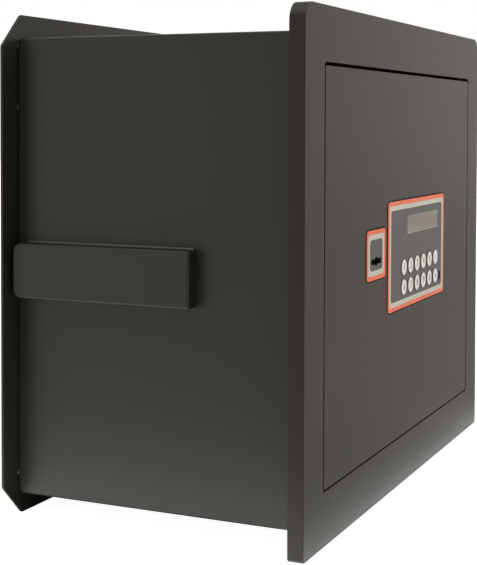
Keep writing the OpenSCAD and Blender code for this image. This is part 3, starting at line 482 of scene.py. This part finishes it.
def surface(name, low, high, rough, grain=900.0, patch=9.0, bump=0.05, depth=0.02 * MM,
            metal=0.0, coat=0.0, lines=None, specular=0.5):
    """A material whose colour and gloss vary between two values, with a grain in relief.

    Grain and patch are how many times a metre the two patterns repeat, and lines draws the
    pattern out into machining lines instead.
    """
    material = bpy.data.materials.new(name)
    material.use_nodes = True
    nodes, links = material.node_tree.nodes, material.node_tree.links
    shader = nodes["Principled BSDF"]
    shader.inputs["Metallic"].default_value = metal
    shader.inputs["Specular IOR Level"].default_value = specular
    shader.inputs["Coat Weight"].default_value = coat
    shader.inputs["Coat Roughness"].default_value = COAT_ROUGH
    pattern = nodes.new("ShaderNodeGroup")
    pattern.node_tree = LINES if lines else GRAIN
    if lines:
        pattern.inputs["Stretch"].default_value = lines
    else:
        pattern.inputs["Grain Size"].default_value = grain
        pattern.inputs["Patch Size"].default_value = patch
    mask = pattern.outputs["Streaks" if lines else "Patches"]
    colour = nodes.new("ShaderNodeMix")
    colour.data_type = "RGBA"
    colour.inputs["A"].default_value = (*low, 1)
    colour.inputs["B"].default_value = (*high, 1)
    links.new(mask, colour.inputs["Factor"])
    links.new(colour.outputs["Result"], shader.inputs["Base Color"])
    gloss = nodes.new("ShaderNodeMapRange")
    gloss.inputs["To Min"].default_value = rough[0]
    gloss.inputs["To Max"].default_value = rough[1]
    links.new(pattern.outputs["Height"], gloss.inputs["Value"])
    links.new(gloss.outputs["Result"], shader.inputs["Roughness"])
    relief = nodes.new("ShaderNodeBump")
    relief.inputs["Strength"].default_value = bump
    relief.inputs["Distance"].default_value = depth
    links.new(pattern.outputs["Height"], relief.inputs["Height"])
    links.new(relief.outputs["Normal"], shader.inputs["Normal"])
    return material


FRAME_PAINT = surface("frame_paint", (0.0152, 0.0126, 0.0099), (0.0202, 0.0168, 0.0132),
                      (0.38, 0.48), grain=1500, patch=5, bump=0.3, specular=0.36)
BODY_PAINT = surface("body_paint", (0.013, 0.0125, 0.010), (0.017, 0.0165, 0.013), (0.36, 0.46),
                     grain=1300, patch=4, bump=0.3)
# The anchors' top seam is painted several times lighter than the body paint: a painted highlight
# along the top edge
SEAM_HIGHLIGHT = surface("seam_painted_highlight", (0.062, 0.060, 0.052), (0.092, 0.089, 0.077), (0.24, 0.34),
                     grain=500, patch=220, bump=0.5)
COVER_PAINT = surface("cover_paint", (0.030, 0.028, 0.025), (0.038, 0.036, 0.032), (0.40, 0.52),
                      grain=1400, patch=6, bump=0.35)
ORANGE = surface("orange_plastic", (0.95, 0.148, 0.044), (0.98, 0.171, 0.057), (0.34, 0.44),
                 grain=1800, patch=30, bump=0.15)
BEIGE = surface("beige_plastic", (0.60, 0.595, 0.54), (0.66, 0.655, 0.60), (0.38, 0.48),
                grain=1800, patch=30, bump=0.15)
PAD_GREY = surface("grey_plastic", (0.085, 0.085, 0.082), (0.097, 0.097, 0.093), (0.42, 0.54),
                   grain=2200, patch=25, bump=0.3)
WINDOW = surface("window_plastic", (0.175, 0.145, 0.125), (0.20, 0.165, 0.145), (0.10, 0.16),
                 grain=120, patch=25, bump=0.01, coat=0.25)
DISPLAY = surface("display", (0.09, 0.10, 0.08), (0.11, 0.12, 0.10), (0.15, 0.25), grain=400)
KEY_WHITE = surface("key_plastic", (0.88, 0.89, 0.87), (0.93, 0.94, 0.93), (0.24, 0.34),
                    grain=2000, patch=60, bump=0.08, coat=0.15)
MARK_DARK = surface("mark_dark", (0.035, 0.035, 0.038), (0.05, 0.05, 0.055), (0.4, 0.5))
MARK_BLUE = surface("mark_blue", (0.10, 0.13, 0.18), (0.13, 0.16, 0.21), (0.4, 0.5))
MARK_RED = surface("mark_red", (0.55, 0.05, 0.08), (0.62, 0.07, 0.10), (0.4, 0.5))
BLACK = surface("black_plastic", (0.010, 0.010, 0.011), (0.016, 0.016, 0.017), (0.40, 0.55),
                grain=1600, patch=30, bump=0.3)
FELT = surface("mat_felt", (0.035, 0.035, 0.040), (0.075, 0.075, 0.082), (0.90, 1.0),
               grain=700, patch=240, bump=1.0, depth=0.4 * MM, specular=0.1)
RUBBER = surface("dome_rubber", (0.10, 0.10, 0.10), (0.13, 0.13, 0.13), (0.6, 0.75), bump=0.2)
BOARD = surface("board", (0.020, 0.105, 0.045), (0.035, 0.145, 0.065), (0.25, 0.38),
                grain=500, patch=200, bump=0.2)
RIBBON = surface("ribbon", (0.40, 0.40, 0.42), (0.48, 0.48, 0.50), (0.4, 0.5), bump=0.2,
                 lines=(1200, 10, 10))
CELL = surface("cell_label", (0.04, 0.06, 0.13), (0.06, 0.085, 0.16), (0.18, 0.28), coat=0.4)
BRONZE = surface("bronze", (0.50, 0.35, 0.15), (0.62, 0.45, 0.21), (0.22, 0.40), metal=1.0,
                 bump=0.15, lines=(60, 900, 900))
POLISHED = surface("bright_steel", (0.52, 0.52, 0.52), (0.64, 0.64, 0.64), (0.10, 0.22),
                   metal=1.0, bump=0.08, lines=(1800, 50, 50))
PLATE_STEEL = surface("plate_steel", (0.38, 0.38, 0.38), (0.50, 0.50, 0.50), (0.28, 0.46),
                      metal=1.0, bump=0.2, lines=(20, 1200, 1200))
ZINC = surface("zinc", (0.50, 0.50, 0.48), (0.66, 0.66, 0.63), (0.20, 0.36), metal=1.0,
               grain=900, patch=120, bump=0.15)
BLACK_STEEL = surface("black_steel", (0.016, 0.016, 0.018), (0.026, 0.026, 0.028), (0.3, 0.45),
                      metal=0.6, grain=900)
OILED_STEEL = surface("oiled_steel", (0.030, 0.028, 0.026), (0.045, 0.042, 0.038), (0.45, 0.6),
                      metal=0.8, grain=900, specular=0.2)

CAD_FINISHES = {
    "zinc": ZINC, "bronze": BRONZE, "bright_steel": POLISHED, "plate_steel": PLATE_STEEL,
    "black_plastic": BLACK, "black_steel": BLACK_STEEL, "board": BOARD, "ribbon": RIBBON,
    "cell_label": CELL, "dome_rubber": RUBBER, "display": DISPLAY, "window_plastic": WINDOW,
    "frame_paint": FRAME_PAINT, "body_paint": BODY_PAINT, "cover_paint": COVER_PAINT,
    "mat_felt": FELT, "orange_plastic": ORANGE, "beige_plastic": BEIGE,
    "grey_plastic": PAD_GREY, "key_plastic": KEY_WHITE,
}


def finish_cad_nodes():
    """Every CAD node gets the material of its record slot, the hinge nodes oiled steel instead."""
    for part in frame["record"]["subparts"]:
        node = frame["nodes"][part["node"]]
        node.data.materials.clear()
        hinge = part["node"].startswith("hinge_")
        finish = OILED_STEEL if hinge else CAD_FINISHES[part["material_slot"]]
        node.data.materials.append(finish)


# The safe's body

def front_plate():
    """The thick frame with its door opening, the body's seat and the hinge bushes' bores."""
    lo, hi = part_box("front_frame")
    piece = box("front_plate", lo, hi)
    middle = (lo.z + hi.z) / 2
    round_edges(piece, along(1, lambda p: p.z > middle), FRAME_TOP_R, 10)
    round_edges(piece, along(1, lambda p: p.z < middle and abs(p.x) > hi.x - NEAR),
                FRAME_FOOT_R, 6)
    cut(piece, tile("cutter", (-OPENING_W / 2, lo.y - PAST, OPENING_Z),
                    (OPENING_W / 2, hi.y + PAST, OPENING_Z + OPENING_H), OPENING_R))
    seat = grown(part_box("body_shell"), SEAT_GAP)
    cut(piece, ring("seat", seat, BODY_WALL + 2 * SEAT_GAP, BODY_R, BODY_IN_R))
    bush_lo, bush_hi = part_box("hinge_bushes")
    at = (bush_lo + bush_hi) / 2
    radius = (bush_hi.x - bush_lo.x) / 2
    cut(piece,
        bar("cutter", 2, at, radius, bush_lo.z, OPENING_Z + PAST),
        bar("cutter", 2, at, radius, OPENING_Z + OPENING_H - PAST, bush_hi.z))
    soften(piece, FRAME_EDGE, 3)
    settle(piece, "safe_body", FRAME_PAINT, ["front_frame"])


def body_tube():
    """A folded tube, its rear corners rounded where it meets the back plate."""
    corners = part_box("body_shell")
    lo, hi = corners
    piece = box("body_tube", lo, hi)
    round_edges(piece, along(0, lambda p: p.y > hi.y - NEAR), BODY_REAR_R, 6)
    round_edges(piece, lambda e: all(abs(v.co.x) > hi.x - ON for v in e.verts)
                and any(v.co.y > lo.y + NEAR for v in e.verts), BODY_R, 6)
    lo, hi = grown(corners, -BODY_WALL, PAST)
    cut(piece, tile("cutter", lo, hi, BODY_IN_R, 3))
    soften(piece, BODY_EDGE, 2, 40)
    settle(piece, "safe_body", BODY_PAINT, ["body_shell"])


def rear_plate():
    """The wide plate with its four corners cut off."""
    lo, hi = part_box("back_plate")
    piece = box("rear_plate", lo, hi)
    round_edges(piece, along(1), PLATE_CHAMFER, 1)
    round_edges(piece, along(1), PLATE_CORNER_R, 4)
    soften(piece, PLATE_EDGE, 3, 30)
    settle(piece, "safe_body", BODY_PAINT, ["back_plate"])


def side_anchors():
    """A pressed tray, open towards the body, welded on along its top, and its mirror image."""
    lo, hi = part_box("right_anchor")
    piece = box("anchor_right", lo, hi)
    round_edges(piece, along(0, lambda p: p.y > hi.y - NEAR), ANCHOR_R, 6)
    round_edges(piece, along(0, lambda p: p.y < lo.y + NEAR), ANCHOR_FRONT_R, 5)
    round_edges(piece, lambda e: all(v.co.x > hi.x - ON for v in e.verts), ANCHOR_BEND, 5)
    hollow_lo = Vector((lo.x - PAST, lo.y + ANCHOR_WALL, lo.z + ANCHOR_WALL))
    hollow_hi = Vector((hi.x - ANCHOR_WALL, hi.y - ANCHOR_WALL, hi.z - ANCHOR_WALL))
    cut(piece, box("cutter", hollow_lo, hollow_hi))
    soften(piece, ANCHOR_EDGE, 2, 50)
    # The seam along the top gets the lighter seam material, a painted highlight
    seam = box("anchor_seam_right", (lo.x, lo.y + ANCHOR_FRONT_R, hi.z - SEAM_SINK),
               (lo.x + SEAM_H, hi.y - ANCHOR_R, hi.z + SEAM_H))
    round_edges(seam, along(1, lambda p: p.x > lo.x + NEAR and p.z > hi.z), SEAM_R, 3)
    soften(seam, 0.1 * MM, 1)
    settle(mirrored(piece, "anchor_left"), "safe_body", BODY_PAINT, ["left_anchor"])
    settle(mirrored(seam, "anchor_seam_left"), "safe_body", SEAM_HIGHLIGHT)
    settle(shade(piece), "safe_body", BODY_PAINT, ["right_anchor"])
    settle(seam, "safe_body", SEAM_HIGHLIGHT)


def tack_welds():
    """Small uneven welds in the corner between the body and the back plate."""
    body_lo, body_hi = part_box("body_shell")
    first = bar("tack", 2, (body_lo.x, body_hi.y, 0), TACK_R, -TACK_LEN / 2, TACK_LEN / 2, 12)
    choose(first, "EDGE", along(2))
    bpy.ops.mesh.subdivide(number_cuts=len(TACK_SWELLS) - 2)
    done()
    for step, size in enumerate(TACK_SWELLS):
        z = (step / (len(TACK_SWELLS) - 1) - 0.5) * TACK_LEN
        choose(first, "VERT", lambda v, z=z: abs(v.co.z - z) < 0.1 * MM)
        bpy.ops.transform.resize(value=(size, size, 1), center_override=(body_lo.x, body_hi.y, z))
        done()
    soften(first, 0.1 * MM, 1, 80)
    for side, across in (("left", 0), ("right", body_hi.x - body_lo.x)):
        for number, z in enumerate(TACK_HEIGHTS, 1):
            tack = twin(first, f"tack_{side}_{number}", Vector((across, 0, z)))
            settle(tack, "safe_body", BODY_PAINT)
    bpy.data.objects.remove(first)


def inner_mat():
    """The felt mat on the safe's floor."""
    piece = tile("inner_mat", *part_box("floor_mat"), MAT_R, 5)
    soften(piece, MAT_EDGE, 3)
    settle(piece, "safe_body", FELT, ["floor_mat"])


# The door

def door_panel():
    """The flush door with its keypad pocket, lock bore, border grooves and pivot bores."""
    lo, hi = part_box("door_leaf")
    piece = tile("door_panel", lo, hi, DOOR_R, 6)
    pocket = grown(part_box("keypad_housing"), POCKET_GAP, PAST)
    rotor_lo, rotor_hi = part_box("key_rotor")
    lock = (rotor_lo + rotor_hi) / 2
    cut(piece,
        tile("cutter", *pocket, POCKET_R),
        bar("cutter", 1, lock, KEYHOLE_R, lo.y - PAST, hi.y + PAST, 64))
    for node in ("keypad_bezel", "key_plate_bezel"):
        face_lo, face_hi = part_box(node)
        outer = grown((Vector((face_lo.x, lo.y - PAST, face_lo.z)),
                       Vector((face_hi.x, lo.y + GROOVE_DEPTH, face_hi.z))), GROOVE_W)
        cut(piece, ring("cutter", outer, 2 * GROOVE_W, RIM_R + GROOVE_W, RIM_R))
    pins_lo, pins_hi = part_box("hinge_pins")
    at = (pins_lo + pins_hi) / 2
    radius = (pins_hi.x - pins_lo.x) / 2
    cut(piece,
        bar("cutter", 2, at, radius, lo.z - PAST, lo.z + PIN_DEPTH),
        bar("cutter", 2, at, radius, hi.z - PIN_DEPTH, hi.z + PAST))
    soften(piece, DOOR_EDGE, 3)
    settle(piece, "door", FRAME_PAINT, ["door_leaf"])


def keypad_rims():
    """The orange border and the beige one inside it, round the keypad and the key plate."""
    for node, name in (("keypad_bezel", "keypad_rim"), ("key_plate_bezel", "key_plate_rim")):
        piece = ring(name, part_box(node), RIM_W, RIM_R, BAND_R)
        soften(piece, RIM_EDGE, 3)
        settle(piece, "door", ORANGE, [node])
    for node, name, inner_r in (("keypad_band", "keypad_inlay", PAD_FACE_R),
                                ("key_plate_band", "key_plate_inlay", PLATE_FACE_R)):
        piece = ring(name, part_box(node), BAND_W, BAND_R, inner_r)
        soften(piece, BAND_EDGE, 2)
        settle(piece, "door", BEIGE, [node])


def keypad_panel():
    """The grey panel with its key holes, display window and black slot."""
    lo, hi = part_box("keypad_face")
    piece = tile("keypad_panel", lo, hi, PAD_FACE_R)
    holes = []
    for node in KEYS:
        key_lo, key_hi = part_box(node)
        holes.append(bar("cutter", 1, (key_lo + key_hi) / 2, KEY_R + KEY_GAP,
                         lo.y - PAST, hi.y + PAST, 64))
    for node, lip, radius in (("display_window", WINDOW_LIP, WINDOW_R),
                              ("contact_socket", SLOT_LIP, SLOT_R)):
        in_lo, in_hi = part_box(node)
        holes.append(tile("cutter", (in_lo.x + lip, lo.y - PAST, in_lo.z + lip),
                          (in_hi.x - lip, hi.y + PAST, in_hi.z - lip), radius, 4))
    cut(piece, *holes)
    soften(piece, PANEL_EDGE, 2)
    settle(piece, "door", PAD_GREY, ["keypad_face"])


def window_pane():
    """The window, a little sunk within its own rim."""
    lo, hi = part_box("display_window")
    pane = tile("window_pane", (lo.x + PANE_LIP, lo.y, lo.z + PANE_LIP),
                (hi.x - PANE_LIP, hi.y, hi.z - PANE_LIP), PANE_R, 4)
    choose(pane, "FACE", facing((0, -1, 0)))
    bpy.ops.mesh.inset(thickness=PANE_RIM, depth=-PANE_SINK)
    done()
    soften(pane, PANE_EDGE, 2, 12)
    settle(pane, "door", WINDOW, ["display_window"])


def key_plate_panel():
    """The grey plate with the double-bit keyway."""
    lo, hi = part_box("key_plate_face")
    piece = tile("key_plate_panel", lo, hi, PLATE_FACE_R)
    rotor_lo, rotor_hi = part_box("key_rotor")
    at = (rotor_lo + rotor_hi) / 2
    cut(piece,
        box("cutter", (at.x - KEYWAY_W / 2, lo.y - PAST, at.z - KEYWAY_H / 2),
            (at.x + KEYWAY_W / 2, hi.y + PAST, at.z + KEYWAY_H / 2)),
        bar("cutter", 1, at, KEYWAY_EYE_R, lo.y - PAST, hi.y + PAST))
    soften(piece, PLATE_PANEL_EDGE, 2)
    settle(piece, "door", PAD_GREY, ["key_plate_face"])


def key_form():
    """The first key: a softly crowned white top on a grey skirt with a collar."""
    lo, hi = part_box("key_1")
    at = (lo + hi) / 2
    front = lo.y + KEY_DROP
    top = bar("top", 1, at, KEY_R, front, front + KEY_TOP_T, 64)
    choose(top, "FACE", facing((0, -1, 0)))
    for thickness, rise in KEY_CROWN:
        bpy.ops.mesh.inset(thickness=thickness * MM, depth=rise * MM)
    done()
    skirt = bar("skirt", 1, at, KEY_SKIRT_R, front + KEY_TOP_T, hi.y, 64)
    collar = bar("collar", 1, at, (hi.x - lo.x) / 2, hi.y - KEY_COLLAR_T, hi.y, 64)
    work_in(skirt, collar, "UNION")
    return shade(top), shade(skirt)


def printed_mark(name, sign, at):
    """A number or a plain sign, printed thick, facing the front at a point."""
    bpy.ops.object.select_all(action="DESELECT")
    if sign == "ring":
        bpy.ops.mesh.primitive_torus_add(
            location=at, rotation=TURNS[1], major_radius=SIGN_R, minor_radius=RING_WIRE_R,
            major_segments=32, minor_segments=6)
        mark = bpy.context.active_object
        mark.scale = (1, 1, MARK_T / (2 * RING_WIRE_R))
    elif sign == "disc":
        mark = bar("mark", 1, at, SIGN_R, at.y - MARK_T, at.y + MARK_T, 32)
    else:
        bpy.ops.object.text_add(location=at, rotation=(math.pi / 2, 0, 0))
        mark = bpy.context.active_object
        mark.data.body = sign
        mark.data.size = FONT_SIZE
        mark.data.align_x = "CENTER"
        mark.data.align_y = "CENTER"
        mark.data.extrude = MARK_T
        bpy.ops.object.convert(target="MESH")
        mark = bpy.context.active_object
    alone(mark)
    bpy.ops.object.transform_apply(location=True, rotation=True, scale=True)
    mark.name = mark.data.name = name
    return mark


def keys():
    """Twelve keys, each with its printed number or sign."""
    first_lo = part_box("key_1")[0]
    top_form, skirt_form = key_form()
    for node, sign in KEYS.items():
        lo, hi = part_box(node)
        cap = twin(top_form, node + "_cap", lo - first_lo)
        settle(cap, node, KEY_WHITE, [node])
        skirt = twin(skirt_form, node + "_skirt", lo - first_lo)
        settle(skirt, node, PAD_GREY, [node])
        top = lo.y + KEY_DROP - sum(rise for _, rise in KEY_CROWN) * MM
        at = Vector(((lo.x + hi.x) / 2, top - MARK_LIFT, (lo.z + hi.z) / 2))
        ink = {"ring": MARK_BLUE, "disc": MARK_RED}.get(sign, MARK_DARK)
        settle(printed_mark(node + "_mark", sign, at), node, ink)
    bpy.data.objects.remove(top_form)
    bpy.data.objects.remove(skirt_form)


# Behind the door leaf

def door_back_cover():
    """The tray over the bolt work, open at the batteries, with two ears for their lid."""
    lo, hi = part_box("door_cover")
    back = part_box("battery_box")[1].y + COVER_WALL
    piece = tile("back_cover", lo, (hi.x, back, hi.z), COVER_R, 6)
    inner_lo = Vector((lo.x + COVER_WALL, lo.y - PAST, lo.z + COVER_WALL))
    inner_hi = Vector((hi.x - COVER_WALL, back - COVER_WALL, hi.z - COVER_WALL))
    cut(piece, tile("cutter", inner_lo, inner_hi, COVER_R - COVER_WALL, 4))
    box_lo, box_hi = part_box("battery_box")
    lap = BATTERY_LAP
    cut(piece, tile("cutter", (box_lo.x + lap, inner_hi.y - PAST, box_lo.z + lap),
                    (box_hi.x - lap, back + PAST, box_hi.z - lap), BATTERY_HOLE_R, 3))
    for node in ("upper_bolt", "lower_bolt"):
        bolt_lo, bolt_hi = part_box(node)
        radius = (bolt_hi.z - bolt_lo.z) / 2 + BOLT_HOLE_GAP
        cut(piece, bar("cutter", 0, (bolt_lo + bolt_hi) / 2, radius,
                       lo.x - PAST, lo.x + COVER_WALL + PAST, 64))
    soften(piece, COVER_EDGE, 3)
    lid_lo, lid_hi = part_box("battery_lid")
    ears = []
    for left, right in ((lid_lo.x, lid_lo.x + EAR_W), (lid_hi.x - EAR_W, lid_hi.x)):
        ear = box("ear", (left, back - EAR_SINK, lid_hi.z - 2 * KNUCKLE_R),
                  (right, hi.y, lid_hi.z))
        round_edges(ear, along(0, lambda p: p.y > back + NEAR), EAR_R, 4)
        ears.append(soften(ear, SMALL_EDGE, 2))
    join(piece, *ears)
    settle(piece, "door", COVER_PAINT, ["door_cover"])


def screw_heads():
    """Domed heads with a cross recess over the cover's six screws."""
    lo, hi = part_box("cover_screws")
    y0, y1 = hi.y - HEAD_T, hi.y
    xs = (lo.x + HEAD_R, (lo.x + hi.x) / 2, hi.x - HEAD_R)
    zs = (lo.z + HEAD_R, hi.z - HEAD_R)
    first = bar("head", 1, (0, 0, 0), HEAD_R, y0, y1, 48)
    round_edges(first, lambda e: abs(e.verts[0].co.y - y1) < 1e-6
                and abs(e.verts[1].co.y - y1) < 1e-6, HEAD_DOME, 5)
    for w, h in ((CROSS_LONG, CROSS_HALF_W), (CROSS_HALF_W, CROSS_LONG)):
        cut(first, box("cutter", (-w, y1 - CROSS_DEPTH, -h), (w, y1 + PAST, h)))
    shank = bar("shank", 1, (0, 0, 0), SHANK_R, lo.y, y0 + 0.2 * MM, 24)
    join(first, shank)
    soften(first, 0.08 * MM, 2)
    places = [(x, z) for x in xs for z in zs]
    for number, (x, z) in enumerate(places, 1):
        screw = twin(first, f"cover_screw_{number}", Vector((x, 0, z)))
        settle(screw, "door", ZINC, ["cover_screws"])
    bpy.data.objects.remove(first)


def lid():
    """The battery lid: a ribbed panel with a knuckle on top and a tab to lift it by."""
    lo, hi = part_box("battery_lid")
    box_lo, box_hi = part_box("battery_box")
    panel_lo = Vector((box_lo.x + LID_GAP, lo.y, box_lo.z + LID_GAP))
    panel_hi = Vector((box_hi.x - LID_GAP, lo.y + LID_T, box_hi.z - LID_GAP))
    piece = tile("lid_panel", panel_lo, panel_hi, LID_R, 4)
    ribs = []
    for number in range(RIBS):
        z = panel_lo.z + (RIB_START + RIB_PITCH * number) * MM
        rib = box("rib", (panel_lo.x + RIB_IN, panel_hi.y - RIB_SINK, z),
                  (panel_hi.x - RIB_IN, panel_hi.y + RIB_H, z + RIB_W))
        ribs.append(rib)
    axis_z = hi.z - KNUCKLE_R
    at = Vector((0, lo.y + KNUCKLE_R, axis_z))
    half = (panel_hi.x - panel_lo.x) / 2 - KNUCKLE_IN
    x = (panel_lo.x + panel_hi.x) / 2
    parts = [
        bar("knuckle", 0, at, KNUCKLE_R, x - half, x + half, 32),
        bar("stubs", 0, at, STUB_R, lo.x, hi.x, 24),
        box("neck", (x - half, lo.y, panel_hi.z - PAST), (x + half, lo.y + LID_T, axis_z)),
        box("tab", (x - TAB_HALF_W, lo.y, lo.z),
            (x + TAB_HALF_W, lo.y + TAB_T, panel_lo.z + PAST)),
    ]
    join(piece, *ribs, *parts)
    soften(piece, SMALL_EDGE, 2)
    settle(piece, "battery_lid", BLACK, ["battery_lid"])


def bolts():
    """Two round bolts with a cut edge in front and a bore at the back."""
    for node, name in (("upper_bolt", "bolt_upper"), ("lower_bolt", "bolt_lower")):
        lo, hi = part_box(node)
        at = (lo + hi) / 2
        radius = (hi.z - lo.z) / 2
        piece = bar(name, 0, at, radius, lo.x, hi.x, 72)
        round_edges(piece, lambda e: all(abs(v.co.x - lo.x) < 1e-6 for v in e.verts),
                    BOLT_CHAMFER, 1)
        cut(piece, bar("cutter", 0, at, BOLT_BORE_R, hi.x - BOLT_BORE_DEPTH, hi.x + PAST, 32))
        soften(piece, BOLT_EDGE, 3)
        settle(piece, "bolt_work", POLISHED, [node])


# Camera, floor and light

def painted_floor_glow(nodes, links):
    """A painted pool of light: the floor glows close round the safe, in place of the light it
    throws back, and not under it, where the shade falls.
    """
    # Painted light: emission strength that is highest near the safe and fades outwards, zero under
    # the safe
    place = nodes.new("ShaderNodeTexCoord")
    half = (cad_box[1] - cad_box[0]) / 2
    steps = [("SUBTRACT", (0, PAINTED_GLOW_BACK, 0)), ("ABSOLUTE", None),
             ("SUBTRACT", (half.x, half.y + PAINTED_GLOW_BACK - PAINTED_GLOW_INSET, 0)), ("MAXIMUM", (0, 0, 0)),
             ("MULTIPLY", PAINTED_GLOW_SHAPE), ("LENGTH", None)]
    passed = place.outputs["Object"]
    for operation, value in steps:
        step = nodes.new("ShaderNodeVectorMath")
        step.operation = operation
        links.new(passed, step.inputs[0])
        if value:
            step.inputs[1].default_value = value
        passed = step.outputs["Value" if operation == "LENGTH" else "Vector"]
    near, fade = nodes.new("ShaderNodeMapRange"), nodes.new("ShaderNodeMapRange")
    near.inputs["From Max"].default_value = PAINTED_GLOW_START
    fade.interpolation_type = "SMOOTHSTEP"
    fade.inputs["From Min"].default_value = PAINTED_GLOW_NEAR
    fade.inputs["From Max"].default_value = PAINTED_GLOW_FAR
    fade.inputs["To Min"].default_value = PAINTED_GLOW
    fade.inputs["To Max"].default_value = 0
    both = nodes.new("ShaderNodeMath")
    both.operation = "MULTIPLY"
    for number, part in enumerate((near, fade)):
        links.new(passed, part.inputs["Value"])
        links.new(part.outputs["Result"], both.inputs[number])
    return both.outputs["Value"]


def floor():
    """A pale floor that the camera sees as nearly white."""
    bpy.ops.object.select_all(action="DESELECT")
    bpy.ops.mesh.primitive_plane_add(size=FLOOR_SIZE,
                                     location=(0, 0, cad_box[0].z - FLOOR_DROP))
    plane = bpy.context.active_object
    plane.name = "floor"
    pale = bpy.data.materials.new("pale_floor")
    pale.use_nodes = True
    shader = pale.node_tree.nodes["Principled BSDF"]
    shader.inputs["Base Color"].default_value = (FLOOR_GREY, FLOOR_GREY, FLOOR_GREY, 1)
    shader.inputs["Roughness"].default_value = FLOOR_ROUGH
    shader.inputs["Emission Color"].default_value = (1, 1, 1, 1)
    nodes, links = pale.node_tree.nodes, pale.node_tree.links
    seen = nodes.new("ShaderNodeLightPath")
    glow = nodes.new("ShaderNodeMix")
    glow.inputs["B"].default_value = FLOOR_SEEN
    links.new(seen.outputs["Is Camera Ray"], glow.inputs["Factor"])
    # Rays other than the camera's get the painted glow round the safe; the camera sees the floor
    # evenly bright
    links.new(painted_floor_glow(nodes, links), glow.inputs["A"])
    links.new(glow.outputs["Result"], shader.inputs["Emission Strength"])
    plane.data.materials.append(pale)


def studio():
    """A white room that the camera sees plain, dimmer as a light, and six soft lamps."""
    world = bpy.data.worlds.new("studio")
    bpy.context.scene.world = world
    world.use_nodes = True
    nodes, links = world.node_tree.nodes, world.node_tree.links
    back = nodes["Background"]
    back.inputs["Color"].default_value = (*LIGHT_TINT, 1)
    back.inputs["Strength"].default_value = STUDIO_GLOW
    shown = nodes.new("ShaderNodeBackground")
    shown.inputs["Color"].default_value = (1, 1, 1, 1)
    shown.inputs["Strength"].default_value = 1.0
    path = nodes.new("ShaderNodeLightPath")
    mix = nodes.new("ShaderNodeMixShader")
    links.new(path.outputs["Is Camera Ray"], mix.inputs[0])
    links.new(back.outputs[0], mix.inputs[1])
    links.new(shown.outputs[0], mix.inputs[2])
    links.new(mix.outputs[0], nodes["World Output"].inputs["Surface"])

    middle = (cad_box[0] + cad_box[1]) / 2
    for name, place, size, power in LAMPS:
        lamp = bpy.data.lights.new(name, "AREA")
        lamp.shape = "SQUARE"
        lamp.size = size
        lamp.energy = power
        lamp.color = FRONT_TINT if name in ("front_right", "right_wall") else LIGHT_TINT
        light = bpy.data.objects.new(name, lamp)
        bpy.context.scene.collection.objects.link(light)
        light.location = place
        aim = Vector(FLOOR_AIM) if name == "front_floor" else middle
        way = aim - Vector(place)
        light.rotation_mode = "QUATERNION"
        light.rotation_quaternion = way.to_track_quat("-Z", "Y")
    bpy.context.scene.view_settings.view_transform = "Standard"


def camera():
    """The photograph's camera: place, turn, focal length and the shift of its frame."""
    yaw, drop, roll = CAMERA_YAW, CAMERA_DROP, CAMERA_ROLL
    forward = Vector((math.sin(yaw) * math.cos(drop), math.cos(yaw) * math.cos(drop),
                      -math.sin(drop)))
    level = Vector((math.cos(yaw), -math.sin(yaw), 0))
    down = forward.cross(level)
    right = math.cos(roll) * level + math.sin(roll) * down
    down = math.cos(roll) * down - math.sin(roll) * level
    data = bpy.data.cameras.new("camera")
    data.sensor_width = SENSOR
    data.lens = FOCAL_PX * SENSOR / PHOTO_H
    data.shift_x = (PHOTO_W / 2 - CENTRE_U) / PHOTO_H
    data.shift_y = (CENTRE_V - PHOTO_H / 2) / PHOTO_H
    data.clip_start = CLIP_START
    data.clip_end = CLIP_END
    view = bpy.data.objects.new("camera", data)
    bpy.context.scene.collection.objects.link(view)
    turn = Matrix((right, -down, -forward)).transposed().to_4x4()
    view.matrix_world = Matrix.Translation(CAMERA_AT) @ turn
    bpy.context.scene.camera = view


camera()
floor()
studio()
finish_cad_nodes()
front_plate()
body_tube()
rear_plate()
side_anchors()
tack_welds()
inner_mat()
door_panel()
keypad_rims()
keypad_panel()
window_pane()
key_plate_panel()
keys()
door_back_cover()
screw_heads()
lid()
bolts()
